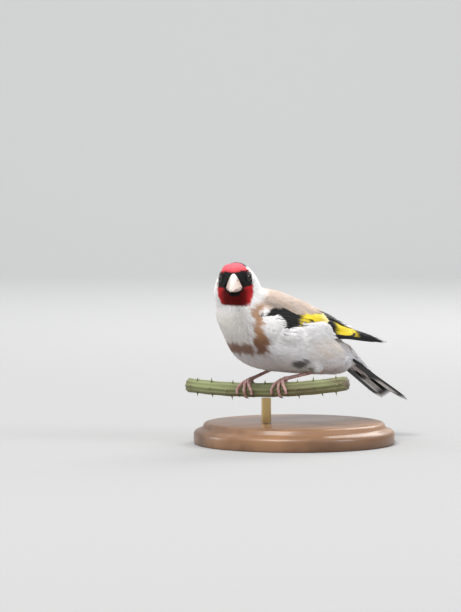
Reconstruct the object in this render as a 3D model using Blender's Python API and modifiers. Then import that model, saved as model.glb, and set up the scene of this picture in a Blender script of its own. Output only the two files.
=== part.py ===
"""European goldfinch, life size, perched on a cut length of thistle stem held by a plain display stand.

The bird faces -Y with its left side at +X and turns its head to the left. The origin is the middle
of the stand's underside. Places on the bird and its stem are given from the grip point, level with
the top of the stem between the feet.
"""

import math
from collections import namedtuple

import bmesh
import bpy
import numpy as np
from mathutils import Matrix, Vector

MM = 0.001
GAP = 0.3 * MM  # clearance between nodes that touch

# Stand
BASE_RADIUS = 42 * MM
BASE_HEIGHT = 9 * MM
BASE_MOULDING = ((6.0, 0), (4.2, 0.8), (3.4, 2.4), (1.2, 3.2), (0, 4.6))  # in from the rim, below the top
ROD_RADIUS = 2 * MM
GRIP_PLACE = Vector((0, -6, 28)) * MM  # where the bird's grip point is over the base

# Cut thistle stem
STEM_RADIUS = 3.0 * MM
STEM_LENGTH = 78 * MM
STEM_YAW = math.radians(18)
STEM_RISE = math.radians(3)
STEM_BEND = 2.4 * MM
STEM_CENTRE = Vector((-0.5, -8.5, -5.0)) * MM
SPINE_LENGTH = 2.4 * MM
SPINE_ROWS = 5
FOOT_CLEAR = 7.5 * MM  # length of bare stem to each side of a foot

# Head, turned to the bird's left and a little down
HEAD_CENTRE = Vector((1.0, -25.4, 39.2)) * MM
HEAD_TURN = math.radians(45)
HEAD_PITCH = math.radians(-8)
HEAD_ROLL = math.radians(-3)
BILL_BASE = 8.2 * MM
BILL_RISE = 1.3 * MM
BILL_LENGTH = 11.2 * MM
BILL_HALF_WIDTH = 3.3 * MM
UPPER_DEPTH = 5.2 * MM
LOWER_DEPTH = 1.9 * MM
MOUTH_DROP = 0.7 * MM
GAPE_DROP = 0.8 * MM
BILL_TILT = math.radians(-2)  # up from the head's own axis
EYE_RADIUS = 2.5 * MM
EYE_PLACE = Vector((3.0, 4.45, 3.5)) * MM  # forward, left, up in the head's own frame
EYE_AIM = Vector((0.34, 1.0, 0.06))
LID_HEIGHT = 1.75 * MM
LID_RADIUS = 1.95 * MM
LID_TUBE = 0.52 * MM
BROW_WALL = 0.65 * MM

# Legs and feet
HIP = Vector((11.5, -3.0, 11.0)) * MM
HEEL = Vector((14.2, 8.4, 3.2)) * MM
TARSUS_RADIUS = 0.75 * MM
TOE_RADIUS = 0.72 * MM
LEFT_FOOT_ALONG = 8.4 * MM
RIGHT_FOOT_ALONG = -8.6 * MM

# Wing and tail
VANE_THICKNESS = 0.55 * MM
WING_BULGE = 2.0 * MM
MIDLINE_CLEAR = 0.25 * MM
TAIL_ROOT = Vector((0, 22, 14.6)) * MM
TAIL_PITCH = math.radians(-31)
TAIL_LENGTH = 48 * MM
TAIL_PAIRS = 6

# Solid body
VOXEL = 0.8 * MM
BODY_TRIANGLES = 4300

Station = namedtuple("Station", "top_y top_z low_y low_z half_width")

# Side outline of the trunk in mm: top point, bottom point and half width, from the tail to the throat
TRUNK = {
    "tail root": Station(53.0, -2.9, 51.5, -5.9, 2.9),
    "tail coverts": Station(46.0, 1.8, 43.6, -3.0, 4.2),
    "vent": Station(38.5, 7.6, 35.5, -1.0, 6.4),
    "rump": Station(30.5, 14.4, 26.5, -0.2, 9.8),
    "hip": Station(22.0, 21.4, 17.5, 0.2, 12.4),
    "belly": Station(13.5, 30.2, 8.0, 1.0, 14.8),
    "waist": Station(4.5, 33.5, -1.0, 2.0, 16.0),
    "keel": Station(-4.5, 36.7, -10.8, 3.3, 15.6),
    "breast": Station(-11.5, 37.8, -19.6, 6.7, 14.0),
    "crop": Station(-16.5, 38.8, -24.0, 13.0, 12.7),
    "neck": Station(-19.5, 40.2, -28.9, 21.5, 11.9),
    "throat": Station(-21.5, 42.0, -30.4, 29.2, 9.8),
    "skull": Station(-23.0, 44.0, -30.0, 36.0, 7.5),
}

TRUNK_TAPER = 0.2  # how much narrower a section is towards its top than towards its bottom
HEAD_TAPER = 0.2

Swell = namedtuple("Swell", "centre radii turn pitch")

# Loose feathers of the left side in mm: of the flank over the wing's lower edge, and of the mantle
SWELLS = (
    Swell((9.4, 1.0, 16.0), (8.8, 18.0, 9.2), -4, -9),
    Swell((9.2, 1.5, 11.6), (8.9, 24.0, 9.2), -3, -10),
    Swell((6.2, -3.5, 29.0), (8.2, 19.0, 5.6), 4, -20),
)

HeadRing = namedtuple("HeadRing", "forward middle half_width rise drop")

# Rings of the head in mm, along its own forward axis
HEAD = {
    "nape": HeadRing(-11.0, -1.0, 3.4, 4.4, 3.0),
    "occiput": HeadRing(-9.4, -1.4, 6.4, 7.6, 6.0),
    "ear": HeadRing(-6.2, -2.0, 8.8, 9.8, 7.6),
    "cheek": HeadRing(-2.8, -2.4, 9.9, 11.6, 8.0),
    "jowl": HeadRing(0.8, -2.2, 9.6, 11.5, 7.6),
    "eye": HeadRing(3.6, -1.6, 8.4, 10.1, 7.0),
    "lore": HeadRing(6.0, -0.4, 6.3, 7.0, 6.0),
    "bill root": HeadRing(8.0, 0.9, 4.3, 5.0, 4.4),
    "bill core": HeadRing(9.6, 1.4, 3.3, 3.9, 3.4),
}

Finish = namedtuple("Finish", "colour roughness metallic")

FINISHES = {
    "white_feathers": Finish((0.80, 0.78, 0.76), 0.85, 0.0),
    "brown_feathers": Finish((0.42, 0.28, 0.18), 0.85, 0.0),
    "face_feathers": Finish((0.62, 0.04, 0.03), 0.80, 0.0),
    "black_feathers": Finish((0.02, 0.02, 0.022), 0.50, 0.0),
    "bill_horn": Finish((0.80, 0.66, 0.58), 0.35, 0.0),
    "eye_gloss": Finish((0.01, 0.008, 0.006), 0.05, 0.0),
    "leg_skin": Finish((0.62, 0.40, 0.33), 0.55, 0.0),
    "thistle_stem": Finish((0.22, 0.25, 0.12), 0.75, 0.0),
    "stand_wood": Finish((0.30, 0.17, 0.09), 0.45, 0.0),
    "stand_brass": Finish((0.62, 0.48, 0.24), 0.30, 1.0),
}


# Scene and object helpers
def clear_scene():
    for obj in list(bpy.data.objects):
        bpy.data.objects.remove(obj, do_unlink=True)


def new_collection(name):
    made = bpy.data.collections.new(name)
    bpy.context.scene.collection.children.link(made)
    return made


def material(name):
    finish = FINISHES[name]
    found = bpy.data.materials.get(name)
    if found:
        return found
    made = bpy.data.materials.new(name)
    made.use_nodes = True
    shader = made.node_tree.nodes["Principled BSDF"]
    shader.inputs["Base Color"].default_value = (*finish.colour, 1)
    shader.inputs["Roughness"].default_value = finish.roughness
    shader.inputs["Metallic"].default_value = finish.metallic
    return made


def object_from_bmesh(name, bm, collection):
    mesh = bpy.data.meshes.new(name)
    bm.to_mesh(mesh)
    bm.free()
    obj = bpy.data.objects.new(name, mesh)
    collection.objects.link(obj)
    return obj


def bake_modifiers(obj):
    """Replaces the object's mesh by what its modifiers make of it."""
    bpy.context.view_layer.update()
    graph = bpy.context.evaluated_depsgraph_get()
    mesh = bpy.data.meshes.new_from_object(obj.evaluated_get(graph))
    obj.modifiers.clear()
    obj.data = mesh


def mesh_from_curve(obj):
    """A closed mesh object in place of a curve object."""
    bpy.context.view_layer.update()
    graph = bpy.context.evaluated_depsgraph_get()
    mesh = bpy.data.meshes.new_from_object(obj.evaluated_get(graph))
    bm = bmesh.new()
    bm.from_mesh(mesh)
    bmesh.ops.remove_doubles(bm, verts=bm.verts, dist=1e-6)
    bmesh.ops.recalc_face_normals(bm, faces=bm.faces)
    made = object_from_bmesh(obj.name + "_mesh", bm, obj.users_collection[0])
    made.matrix_world = obj.matrix_world
    bpy.data.objects.remove(obj, do_unlink=True)
    return made


def boolean(obj, operation, other=None, group=None, solver="EXACT"):
    modifier = obj.modifiers.new(operation.lower(), "BOOLEAN")
    modifier.operation = operation
    modifier.solver = solver
    if group:
        modifier.operand_type = "COLLECTION"
        modifier.collection = group
    else:
        modifier.object = other
    bake_modifiers(obj)


def fuse(name, pieces, collection, solver="MANIFOLD"):
    """One closed body from overlapping closed pieces; the pieces are removed."""
    first = pieces[0]
    group = new_collection(name + "_pieces")
    for piece in pieces[1:]:
        for holder in list(piece.users_collection):
            holder.objects.unlink(piece)
        group.objects.link(piece)
    boolean(first, "UNION", group=group, solver=solver)
    for piece in list(group.objects):
        bpy.data.objects.remove(piece, do_unlink=True)
    bpy.data.collections.remove(group)
    first.name = name
    for holder in list(first.users_collection):
        holder.objects.unlink(first)
    collection.objects.link(first)
    keep_largest(first)
    return first


def keep_largest(obj):
    """Keeps the closed surface that holds the most volume."""
    bm = bmesh.new()
    bm.from_mesh(obj.data)
    bm.faces.ensure_lookup_table()
    seen = set()
    shells = []
    for start in bm.faces:
        if start in seen:
            continue
        shell, waiting = [], [start]
        seen.add(start)
        while waiting:
            face = waiting.pop()
            shell.append(face)
            for edge in face.edges:
                for other in edge.link_faces:
                    if other not in seen:
                        seen.add(other)
                        waiting.append(other)
        shells.append(shell)
    if len(shells) > 1:
        largest = max(shells, key=shell_volume)
        spare = [face for shell in shells if shell is not largest for face in shell]
        bmesh.ops.delete(bm, geom=spare, context="FACES")
        bm.to_mesh(obj.data)
    bm.free()


def shell_volume(faces):
    total = 0.0
    for face in faces:
        corners = [v.co for v in face.verts]
        for second, third in zip(corners[1:], corners[2:]):
            total += corners[0].dot(second.cross(third)) / 6
    return abs(total)


def keep_side(obj, point, normal):
    """Cuts the object by a plane, keeps what lies on the normal's side, and closes the cut."""
    bm = bmesh.new()
    bm.from_mesh(obj.data)
    geometry = bm.verts[:] + bm.edges[:] + bm.faces[:]
    cut = bmesh.ops.bisect_plane(
        bm, geom=geometry, dist=1e-7, plane_co=point, plane_no=normal, clear_inner=True
    )
    rim = [e for e in cut["geom_cut"] if isinstance(e, bmesh.types.BMEdge)]
    bmesh.ops.holes_fill(bm, edges=rim, sides=0)
    bmesh.ops.triangulate(bm, faces=bm.faces)
    bmesh.ops.recalc_face_normals(bm, faces=bm.faces)
    bm.to_mesh(obj.data)
    bm.free()


def copy_of(obj, name, collection):
    made = obj.copy()
    made.data = obj.data.copy()
    made.name = name
    collection.objects.link(made)
    return made


def grown(obj, name, by, collection):
    """A copy whose surface stands that far outside the object's, to cut neighbours clear of it."""
    made = copy_of(obj, name, collection)
    modifier = made.modifiers.new("grow", "DISPLACE")
    modifier.strength = by
    modifier.mid_level = 0
    bake_modifiers(made)
    made.hide_render = True
    made.display_type = "WIRE"
    return made


# Curves and lofts
def lerp(low, high, share):
    return low + (high - low) * share


def smooth_row(rows, place):
    """The row at a place, counted in rows, on a Catmull-Rom curve through them."""
    rows = np.array(rows, float)
    ends = np.vstack([2 * rows[0] - rows[1], rows, 2 * rows[-1] - rows[-2]])
    i = min(int(place), len(rows) - 2)
    t = place - i
    a, b, c, d = ends[i : i + 4]
    curve = (3 * b - a - 3 * c + d) * t**3 + (2 * a - 5 * b + 4 * c - d) * t**2 + (c - a) * t
    return curve / 2 + b


def smooth_rows(rows, count):
    return np.array([smooth_row(rows, place) for place in np.linspace(0, len(rows) - 1, count)])


def loft(name, rings, collection):
    """A closed body through rings with the same number of points, capped at both ends."""
    bm = bmesh.new()
    rows = [[bm.verts.new(point) for point in ring] for ring in rings]
    count = len(rows[0])
    for lower, upper in zip(rows, rows[1:]):
        for i in range(count):
            j = (i + 1) % count
            bm.faces.new((lower[i], lower[j], upper[j], upper[i]))
    for row in (rows[0][::-1], rows[-1]):
        bm.faces.new(row)
    bmesh.ops.recalc_face_normals(bm, faces=bm.faces)
    return object_from_bmesh(name, bm, collection)


def oval_ring(middle, side, up, half_width, rise, drop, count, taper=0.0):
    """Points round an oval whose top may be narrower than its bottom."""
    points = []
    for i in range(count):
        angle = 2 * math.pi * i / count
        high = math.cos(angle)
        across = math.sin(angle) * half_width * (1 - taper * high)
        points.append(middle + side * across + up * (high * (rise if high > 0 else drop)))
    return points


def ellipsoid(name, centre, radii, turn, collection):
    bm = bmesh.new()
    bmesh.ops.create_uvsphere(bm, u_segments=20, v_segments=12, radius=1)
    place = Matrix.Translation(centre) @ turn @ Matrix.Diagonal((*radii, 1))
    bmesh.ops.transform(bm, matrix=place, verts=bm.verts)
    return object_from_bmesh(name, bm, collection)


def tapered_tube(name, points, radii, collection, resolution=1):
    """A tube through the points, with its own radius at each."""
    curve = bpy.data.curves.new(name, "CURVE")
    curve.dimensions = "3D"
    curve.bevel_depth = 1.0
    curve.bevel_resolution = resolution
    curve.use_fill_caps = True
    spline = curve.splines.new("POLY")
    spline.points.add(len(points) - 1)
    for target, point, radius in zip(spline.points, points, radii):
        target.co = (*point, 1)
        target.radius = radius
    obj = bpy.data.objects.new(name, curve)
    collection.objects.link(obj)
    return mesh_from_curve(obj)


def vane(name, line, across, normals, half_widths, collection, thickness=VANE_THICKNESS):
    """A flat feather along a line, with the same triangles on both faces."""
    bm = bmesh.new()
    rows = []
    for point, side, normal, half in zip(line, across, normals, half_widths):
        thin = normal * (thickness / 2)
        left, right = point - side * half, point + side * half
        corners = (left + thin, right + thin, right - thin, left - thin)
        rows.append([bm.verts.new(corner) for corner in corners])
    for lower, upper in zip(rows, rows[1:]):
        for i, j in ((0, 1), (3, 2)):
            bm.faces.new((lower[i], lower[j], upper[j]))
            bm.faces.new((lower[i], upper[j], upper[i]))
        for i, j in ((1, 2), (0, 3)):
            bm.faces.new((lower[i], lower[j], upper[j]))
            bm.faces.new((lower[i], upper[j], upper[i]))
    for row in (rows[0], rows[-1]):
        bm.faces.new((row[0], row[1], row[2]))
        bm.faces.new((row[0], row[2], row[3]))
    bmesh.ops.recalc_face_normals(bm, faces=bm.faces)
    return object_from_bmesh(name, bm, collection)


# Frames on the bird
def head_frame():
    """Matrix from the head's own frame (forward, left, up) to the bird's."""
    turn = Matrix.Rotation(HEAD_TURN, 4, "Z")
    pitch = Matrix.Rotation(-HEAD_PITCH, 4, "Y")
    roll = Matrix.Rotation(-HEAD_ROLL, 4, "X")
    facing = Matrix.Rotation(-math.pi / 2, 4, "Z")
    return Matrix.Translation(HEAD_CENTRE) @ facing @ turn @ pitch @ roll


def stem_axis(along):
    """Point on the stem's middle line, from its centre towards the bird's left."""
    flat = Vector((math.cos(STEM_YAW), math.sin(STEM_YAW), 0))
    direction = flat * math.cos(STEM_RISE) + Vector((0, 0, math.sin(STEM_RISE)))
    sag = STEM_BEND * (2 * along / STEM_LENGTH) ** 2
    return STEM_CENTRE + direction * along + Vector((0, 0, sag))


def stem_frame(along):
    """Middle point, direction, forward and up vectors of the stem there."""
    step = 0.5 * MM
    direction = (stem_axis(along + step) - stem_axis(along - step)).normalized()
    forward = direction.cross(Vector((0, 0, 1))).normalized()
    up = forward.cross(direction).normalized()
    return stem_axis(along), direction, forward, up


# Body
def trunk_piece(collection):
    rows = smooth_rows([tuple(s) for s in TRUNK.values()], 30) * MM
    rings = []
    for top_y, top_z, low_y, low_z, half_width in rows:
        top, low = Vector((0, top_y, top_z)), Vector((0, low_y, low_z))
        middle = low.lerp(top, 0.46)
        up = (top - low).normalized()
        rise, drop = (top - middle).length, (middle - low).length
        side = Vector((1, 0, 0))
        rings.append(oval_ring(middle, side, up, half_width, rise, drop, 28, TRUNK_TAPER))
    return loft("trunk", rings, collection)


def head_piece(collection):
    frame = head_frame()
    left, up = Vector((0, 1, 0)), Vector((0, 0, 1))
    rows = smooth_rows([tuple(r) for r in HEAD.values()], 24) * MM
    rings = []
    for forward, middle, half_width, rise, drop in rows:
        ring = oval_ring(Vector((forward, 0, middle)), left, up, half_width, rise, drop, 28, HEAD_TAPER)
        rings.append([frame @ point for point in ring])
    return loft("skull", rings, collection)


def flank_pieces(collection):
    """The loose flank feathers over the lower edge of each folded wing, and the mantle above it."""
    made = []
    for side in (1, -1):
        for swell in SWELLS:
            turn = Matrix.Rotation(side * math.radians(swell.turn), 4, "Z")
            lean = turn @ Matrix.Rotation(math.radians(swell.pitch), 4, "X")
            x, y, z = swell.centre
            radii = Vector(swell.radii) * MM
            made.append(ellipsoid("swell", Vector((side * x, y, z)) * MM, radii, lean, collection))
    return made


def whole_body(collection):
    """Trunk, neck and head as one smooth skin of feathers."""
    pieces = [trunk_piece(collection), head_piece(collection), *flank_pieces(collection)]
    bm = bmesh.new()
    for piece in pieces:
        bm.from_mesh(piece.data)
        bpy.data.objects.remove(piece, do_unlink=True)
    body = object_from_bmesh("body", bm, collection)
    remesh = body.modifiers.new("skin", "REMESH")
    remesh.mode = "VOXEL"
    remesh.voxel_size = VOXEL
    soften = body.modifiers.new("soften", "SMOOTH")
    soften.factor = 0.5
    soften.iterations = 6
    bake_modifiers(body)
    thin = body.modifiers.new("thin", "DECIMATE")
    thin.ratio = BODY_TRIANGLES / (2 * len(body.data.polygons))
    thin.use_collapse_triangulate = True
    bake_modifiers(body)
    return body


def body_cuts():
    """Point and forward normal of the planes that part tail, torso, neck and head."""
    neck_line = (HEAD_CENTRE - Vector((0, -15, 24)) * MM).normalized()
    head_cut = HEAD_CENTRE - neck_line * 7.4 * MM
    neck_cut = HEAD_CENTRE - neck_line * 14.6 * MM
    tail_line = Vector((0, math.cos(TAIL_PITCH), math.sin(TAIL_PITCH)))
    tail_cut = TAIL_ROOT + tail_line * 13.5 * MM
    return {"tail": (tail_cut, -tail_line), "neck": (neck_cut, neck_line), "head": (head_cut, neck_line)}


def slice_between(body, name, low, high, collection):
    """The stretch of the body between two planes, set back by half the gap from each."""
    made = copy_of(body, name, collection)
    if low:
        point, normal = low
        keep_side(made, point + normal * GAP / 2, normal)
    if high:
        point, normal = high
        keep_side(made, point - normal * GAP / 2, -normal)
    keep_largest(made)
    return made


# Head details
def eye_centre(side):
    place = Vector((EYE_PLACE.x, side * EYE_PLACE.y, EYE_PLACE.z))
    return head_frame() @ place


def eye_axis(side):
    aim = Vector((EYE_AIM.x, side * EYE_AIM.y, EYE_AIM.z))
    return (head_frame().to_3x3() @ aim).normalized()


def eyeball(name, side, radius, collection, segments=16):
    bm = bmesh.new()
    bmesh.ops.create_uvsphere(bm, u_segments=segments, v_segments=segments * 5 // 8, radius=radius)
    turn = eye_axis(side).to_track_quat("Z", "Y").to_matrix().to_4x4()
    bmesh.ops.transform(bm, matrix=Matrix.Translation(eye_centre(side)) @ turn, verts=bm.verts)
    return object_from_bmesh(name, bm, collection)


def eyelid(side, collection):
    """The raised rim of bare lid round the eye."""
    axis = eye_axis(side)
    turn = axis.to_track_quat("Z", "Y").to_matrix().to_4x4()
    centre = eye_centre(side) + axis * LID_HEIGHT
    rings = []
    for i in range(16):
        angle = 2 * math.pi * i / 16
        spoke = Vector((math.cos(angle), math.sin(angle), 0))
        middle = spoke * LID_RADIUS
        ring = []
        for j in range(6):
            round_angle = 2 * math.pi * j / 6
            offset = spoke * math.cos(round_angle) + Vector((0, 0, math.sin(round_angle)))
            ring.append(Matrix.Translation(centre) @ turn @ (middle + offset * LID_TUBE))
        rings.append(ring)
    bm = bmesh.new()
    rows = [[bm.verts.new(point) for point in ring] for ring in rings]
    for i, row in enumerate(rows):
        following = rows[(i + 1) % len(rows)]
        for j in range(6):
            k = (j + 1) % 6
            bm.faces.new((row[j], row[k], following[k], following[j]))
    bmesh.ops.recalc_face_normals(bm, faces=bm.faces)
    return object_from_bmesh("lid", bm, collection)


def brow(side, collection):
    """The feathered wall that holds the eyeball up to the rim of the lids."""
    wall = eyeball("brow", side, EYE_RADIUS + GAP + BROW_WALL, collection)
    keep_side(wall, eye_centre(side) + eye_axis(side) * 1.55 * MM, -eye_axis(side))
    return wall


def bill_frame():
    """Matrix of the bill's own frame: forward from its root along the mouth's line."""
    root = Matrix.Translation(Vector((BILL_BASE, 0, BILL_RISE)))
    return head_frame() @ root @ Matrix.Rotation(-BILL_TILT, 4, "Y")


def bill_section(upper, share, grow=0.0):
    """Outline across one half of the bill as (across, up), from its left edge over to its right one."""
    taper = (1 - share) ** 0.86 * (1 - 0.12 * math.sin(math.pi * share)) + 0.035
    half = BILL_HALF_WIDTH * taper * (1 if upper else 0.93) + grow
    tall = (UPPER_DEPTH if upper else LOWER_DEPTH) * taper + grow
    if upper:
        tall *= 1 + 0.10 * math.sin(math.pi * share)
    mouth = -MOUTH_DROP * share**2 - GAPE_DROP * (1 - share) ** 3
    mouth += GAP / 2 if upper else -GAP / 2
    peak = 1.6 if upper else 0.85
    points = []
    for j in range(9):
        angle = math.pi * j / 8
        rise = math.sin(angle) ** peak * tall
        across = math.cos(angle) * half * (1 - 0.18 * math.sin(angle))
        points.append((across, mouth + (rise if upper else -rise)))
    return points


def mandible(name, upper, collection):
    """One half of the cone-shaped bill, with the mouth's line between the halves."""
    frame = bill_frame()
    length = BILL_LENGTH if upper else BILL_LENGTH * 0.93
    rings = []
    for i in range(9):
        share = i / 8
        rings.append([frame @ Vector((length * share, y, z)) for y, z in bill_section(upper, share)])
    return loft(name, rings, collection)


def nostril(side, collection):
    place = bill_frame() @ (Vector((0.9, side * 2.2, 2.2)) * MM)
    bm = bmesh.new()
    bmesh.ops.create_uvsphere(bm, u_segments=8, v_segments=5, radius=0.55 * MM)
    bmesh.ops.transform(bm, matrix=Matrix.Translation(place), verts=bm.verts)
    return object_from_bmesh("nostril", bm, collection)


def bill_room(collection):
    """The room ahead of the bill's root, cut from the head so that the face meets the bill all round."""
    frame = bill_frame()
    upper, lower = bill_section(True, 0.0, GAP), bill_section(False, 0.0, GAP)
    outline = upper + lower[::-1][1:-1]
    rings = [[frame @ Vector((x, y, z)) for y, z in outline] for x in (-GAP, 16 * MM)]
    return loft("bill_room", rings, collection)


def make_head(body, cuts, shop, bird):
    head = slice_between(body, "head", cuts["head"], None, bird)
    rims = [make(side, shop) for side in (1, -1) for make in (brow, eyelid)]
    head = fuse("head", [head, *rims], bird)
    room = bill_room(shop)
    boolean(head, "DIFFERENCE", other=room, solver="MANIFOLD")
    bpy.data.objects.remove(room, do_unlink=True)
    for side, name in ((1, "eye_left"), (-1, "eye_right")):
        socket = eyeball("socket", side, EYE_RADIUS + GAP, shop)
        boolean(head, "DIFFERENCE", other=socket, solver="MANIFOLD")
        bpy.data.objects.remove(socket, do_unlink=True)
        eyeball(name, side, EYE_RADIUS, bird)
    keep_largest(head)
    upper = mandible("bill_upper", True, bird)
    for side in (1, -1):
        pit = nostril(side, shop)
        boolean(upper, "DIFFERENCE", other=pit, solver="MANIFOLD")
        bpy.data.objects.remove(pit, do_unlink=True)
    mandible("bill_lower", False, bird)


# Wings
WING_LOW = ((11.0, -22, 25.0), (15.6, -6, 18.5), (15.0, 14, 14.8), (8.8, 36, 14.2), (2.4, 55, 11.6))
WING_HIGH = ((9.0, -20, 29.0), (9.2, -4, 30.2), (5.4, 16, 25.0), (2.8, 36, 17.6), (1.6, 54.5, 12.6))


def edge_point(rows, s):
    """Point on a wing edge at the share s of its length."""
    return Vector(smooth_row(rows, min(max(s, 0.0), 1.0) * (len(rows) - 1))) * MM


def wing_surface(s, t):
    """Point on the folded left wing: s from wrist to tip, t from its lower to its upper edge."""
    low, high = edge_point(WING_LOW, s), edge_point(WING_HIGH, s)
    chord = high - low
    along = edge_point(WING_LOW, s + 0.01) - edge_point(WING_LOW, s - 0.01)
    outward = chord.cross(along).normalized()
    if outward.x < 0:
        outward.negate()
    bulge = WING_BULGE * 4 * t * (1 - t) * (1 - 0.6 * s)
    return low + chord * t + outward * bulge


def wing_frame(s, t):
    """Point, direction to the tip, direction to the upper edge, and outward normal."""
    point = wing_surface(s, t)
    step = 0.01
    along = (wing_surface(s + step, t) - wing_surface(s - step, t)).normalized()
    over = (wing_surface(s, t + step) - wing_surface(s, t - step)).normalized()
    outward = over.cross(along).normalized()
    if outward.x < 0:
        outward.negate()
    return point, along, over, outward


Tier = namedtuple(
    "Tier", "count root tip low_root high_root low_tip high_tip half_width low_lift high_lift tip_step"
)

# Each row of feathers, from the wing's lower edge to its upper edge; lengths are shares of the wing
WING_TIERS = {
    "primary": Tier(7, 0.30, 0.99, 0.16, 0.46, 0.22, 0.74, 2.4, 0.1, 1.05, -0.025),
    "secondary": Tier(5, 0.26, 0.70, 0.34, 0.62, 0.30, 0.60, 2.9, 1.0, 1.7, -0.012),
    "tertial": Tier(3, 0.24, 0.75, 0.66, 0.84, 0.56, 0.86, 3.1, 1.8, 2.5, -0.075),
    "primary_covert": Tier(3, 0.14, 0.46, 0.12, 0.28, 0.10, 0.24, 2.2, 0.9, 1.4, -0.03),
    "greater_covert": Tier(6, 0.12, 0.43, 0.26, 0.78, 0.24, 0.74, 2.6, 1.4, 2.4, 0.006),
    "median_covert": Tier(6, 0.05, 0.27, 0.18, 0.80, 0.16, 0.82, 2.5, 1.8, 2.9, 0.006),
}


def wing_feather(name, root, tip, lift, half_width, collection):
    """One wing feather from its root to its tip, both as (s, t) on the folded wing."""
    line, across, normals, widths = [], [], [], []
    steps = 6
    for i in range(steps + 1):
        share = i / steps
        s = root[0] + (tip[0] - root[0]) * share
        t = root[1] + (tip[1] - root[1]) * share
        point, along, over, outward = wing_frame(s, t)
        line.append(point + outward * (lift * (0.75 + 0.25 * (1 - share))))
        across.append(over)
        normals.append(outward)
        narrow = 1 - 0.78 * max(0.0, (share - 0.62) / 0.38) ** 2.2
        widths.append(half_width * narrow * (0.75 + 0.25 * min(1.0, share * 3)) * (1 - 0.30 * s))
    return vane(name, line, across, normals, widths, collection)


def wing_plate(collection):
    """The arm and its smallest coverts, which all the wing's feathers root in."""
    rings = []
    for i in range(9):
        s = 0.44 * i / 8
        end = 0.35 if i in (0, 8) else 1.0
        reach = 0.45 * (0.4, 0.8, 1.0)[min(i, 2)]
        upper, lower = [], []
        for j in range(7):
            t = 0.49 + reach * (j / 3 - 1)
            point, _, _, outward = wing_frame(max(s, 0.005), t)
            dome = math.sin(math.pi * (0.06 + 0.88 * j / 6)) ** 0.5 * end
            top = lerp(1.8, 2.7, t) - 5.5 * max(0.0, s - 0.2)
            upper.append(point + outward * top * dome * MM)
            lower.append(point - outward * 1.6 * MM)
        rings.append(upper + lower[::-1])
    return loft("wing_plate", rings, collection)


def make_wing(body_clear, shop, bird):
    pieces = [wing_plate(shop)]
    for kind, tier in WING_TIERS.items():
        for i in range(tier.count):
            share = i / (tier.count - 1)
            root = (tier.root, lerp(tier.low_root, tier.high_root, share))
            droop = tier.tip_step * i
            if kind == "primary":
                droop = tier.tip_step * max(0, i - 2) - 0.02 * max(0, 1 - i)
            tip = (tier.tip + droop, lerp(tier.low_tip, tier.high_tip, share))
            lift = lerp(tier.low_lift, tier.high_lift, share) * MM
            pieces.append(wing_feather(kind, root, tip, lift, tier.half_width * MM, shop))
    wing = fuse("wing_left", pieces, bird)
    boolean(wing, "DIFFERENCE", other=body_clear, solver="MANIFOLD")
    keep_largest(wing)
    keep_side(wing, Vector((MIDLINE_CLEAR, 0, 0)), Vector((1, 0, 0)))
    keep_largest(wing)
    return wing


def mirrored(obj, name, collection):
    """The same piece for the bird's other side."""
    made = copy_of(obj, name, collection)
    bm = bmesh.new()
    bm.from_mesh(made.data)
    bmesh.ops.scale(bm, vec=(-1, 1, 1), verts=bm.verts)
    bmesh.ops.reverse_faces(bm, faces=bm.faces)
    bm.to_mesh(made.data)
    bm.free()
    return made


# Tail
def tail_feather(rank, side, collection):
    """One tail feather; rank 0 is the middle pair, which lies on top."""
    fan = math.radians(0.9 + 1.0 * rank) * side
    outer = rank / (TAIL_PAIRS - 1)
    length = TAIL_LENGTH * (0.945 + 0.055 * outer)
    half_width = (3.0 - 0.5 * outer) * MM
    start = 1.0 * MM * side + 0.45 * MM * rank * side
    down = Matrix.Rotation(TAIL_PITCH, 3, "X")
    line, across, normals, widths = [], [], [], []
    for i in range(7):
        share = i / 6
        run = length * share
        lift = -0.32 * MM * rank - 0.9 * MM * share * share
        flat = Vector((start + math.sin(fan) * run, math.cos(fan) * run, lift))
        line.append(TAIL_ROOT + down @ flat)
        across.append(down @ Vector((math.cos(fan), -math.sin(fan), -0.06 * side)).normalized())
        normals.append(down @ Vector((0, 0, 1)))
        narrow = 1 - 0.72 * max(0.0, (share - 0.78) / 0.22) ** 2
        widths.append(half_width * narrow * (0.7 + 0.3 * min(1.0, share * 2)))
    return vane("rectrix", line, across, normals, widths, collection)


def make_tail(body, cuts, shop, bird):
    point, forward = cuts["tail"]
    sheath = copy_of(body, "sheath", shop)
    keep_side(sheath, point - forward * GAP / 2, -forward)
    keep_largest(sheath)
    feathers = [tail_feather(rank, side, shop) for rank in range(TAIL_PAIRS) for side in (1, -1)]
    tail = fuse("tail", [sheath, *feathers], bird)
    keep_side(tail, point - forward * GAP / 2, -forward)
    keep_largest(tail)
    return tail


# Legs
def grip_point(along, angle, radius, aside=0.0):
    """Point round the stem: angle 0 is on top, and it grows towards the bird's front."""
    middle, direction, forward, up = stem_frame(along)
    reach = STEM_RADIUS + GAP + radius
    return middle + direction * aside + (up * math.cos(angle) + forward * math.sin(angle)) * reach


Toe = namedtuple("Toe", "start end aside claw")

# Angles round the stem in degrees and sideways spread in mm; the hind toe goes round the back
TOES = {
    "inner": Toe(4, 112, -3.4, 36),
    "middle": Toe(4, 138, 0.2, 36),
    "outer": Toe(4, 116, 3.6, 36),
    "hind": Toe(-8, -96, 0.4, -58),
}


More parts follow.
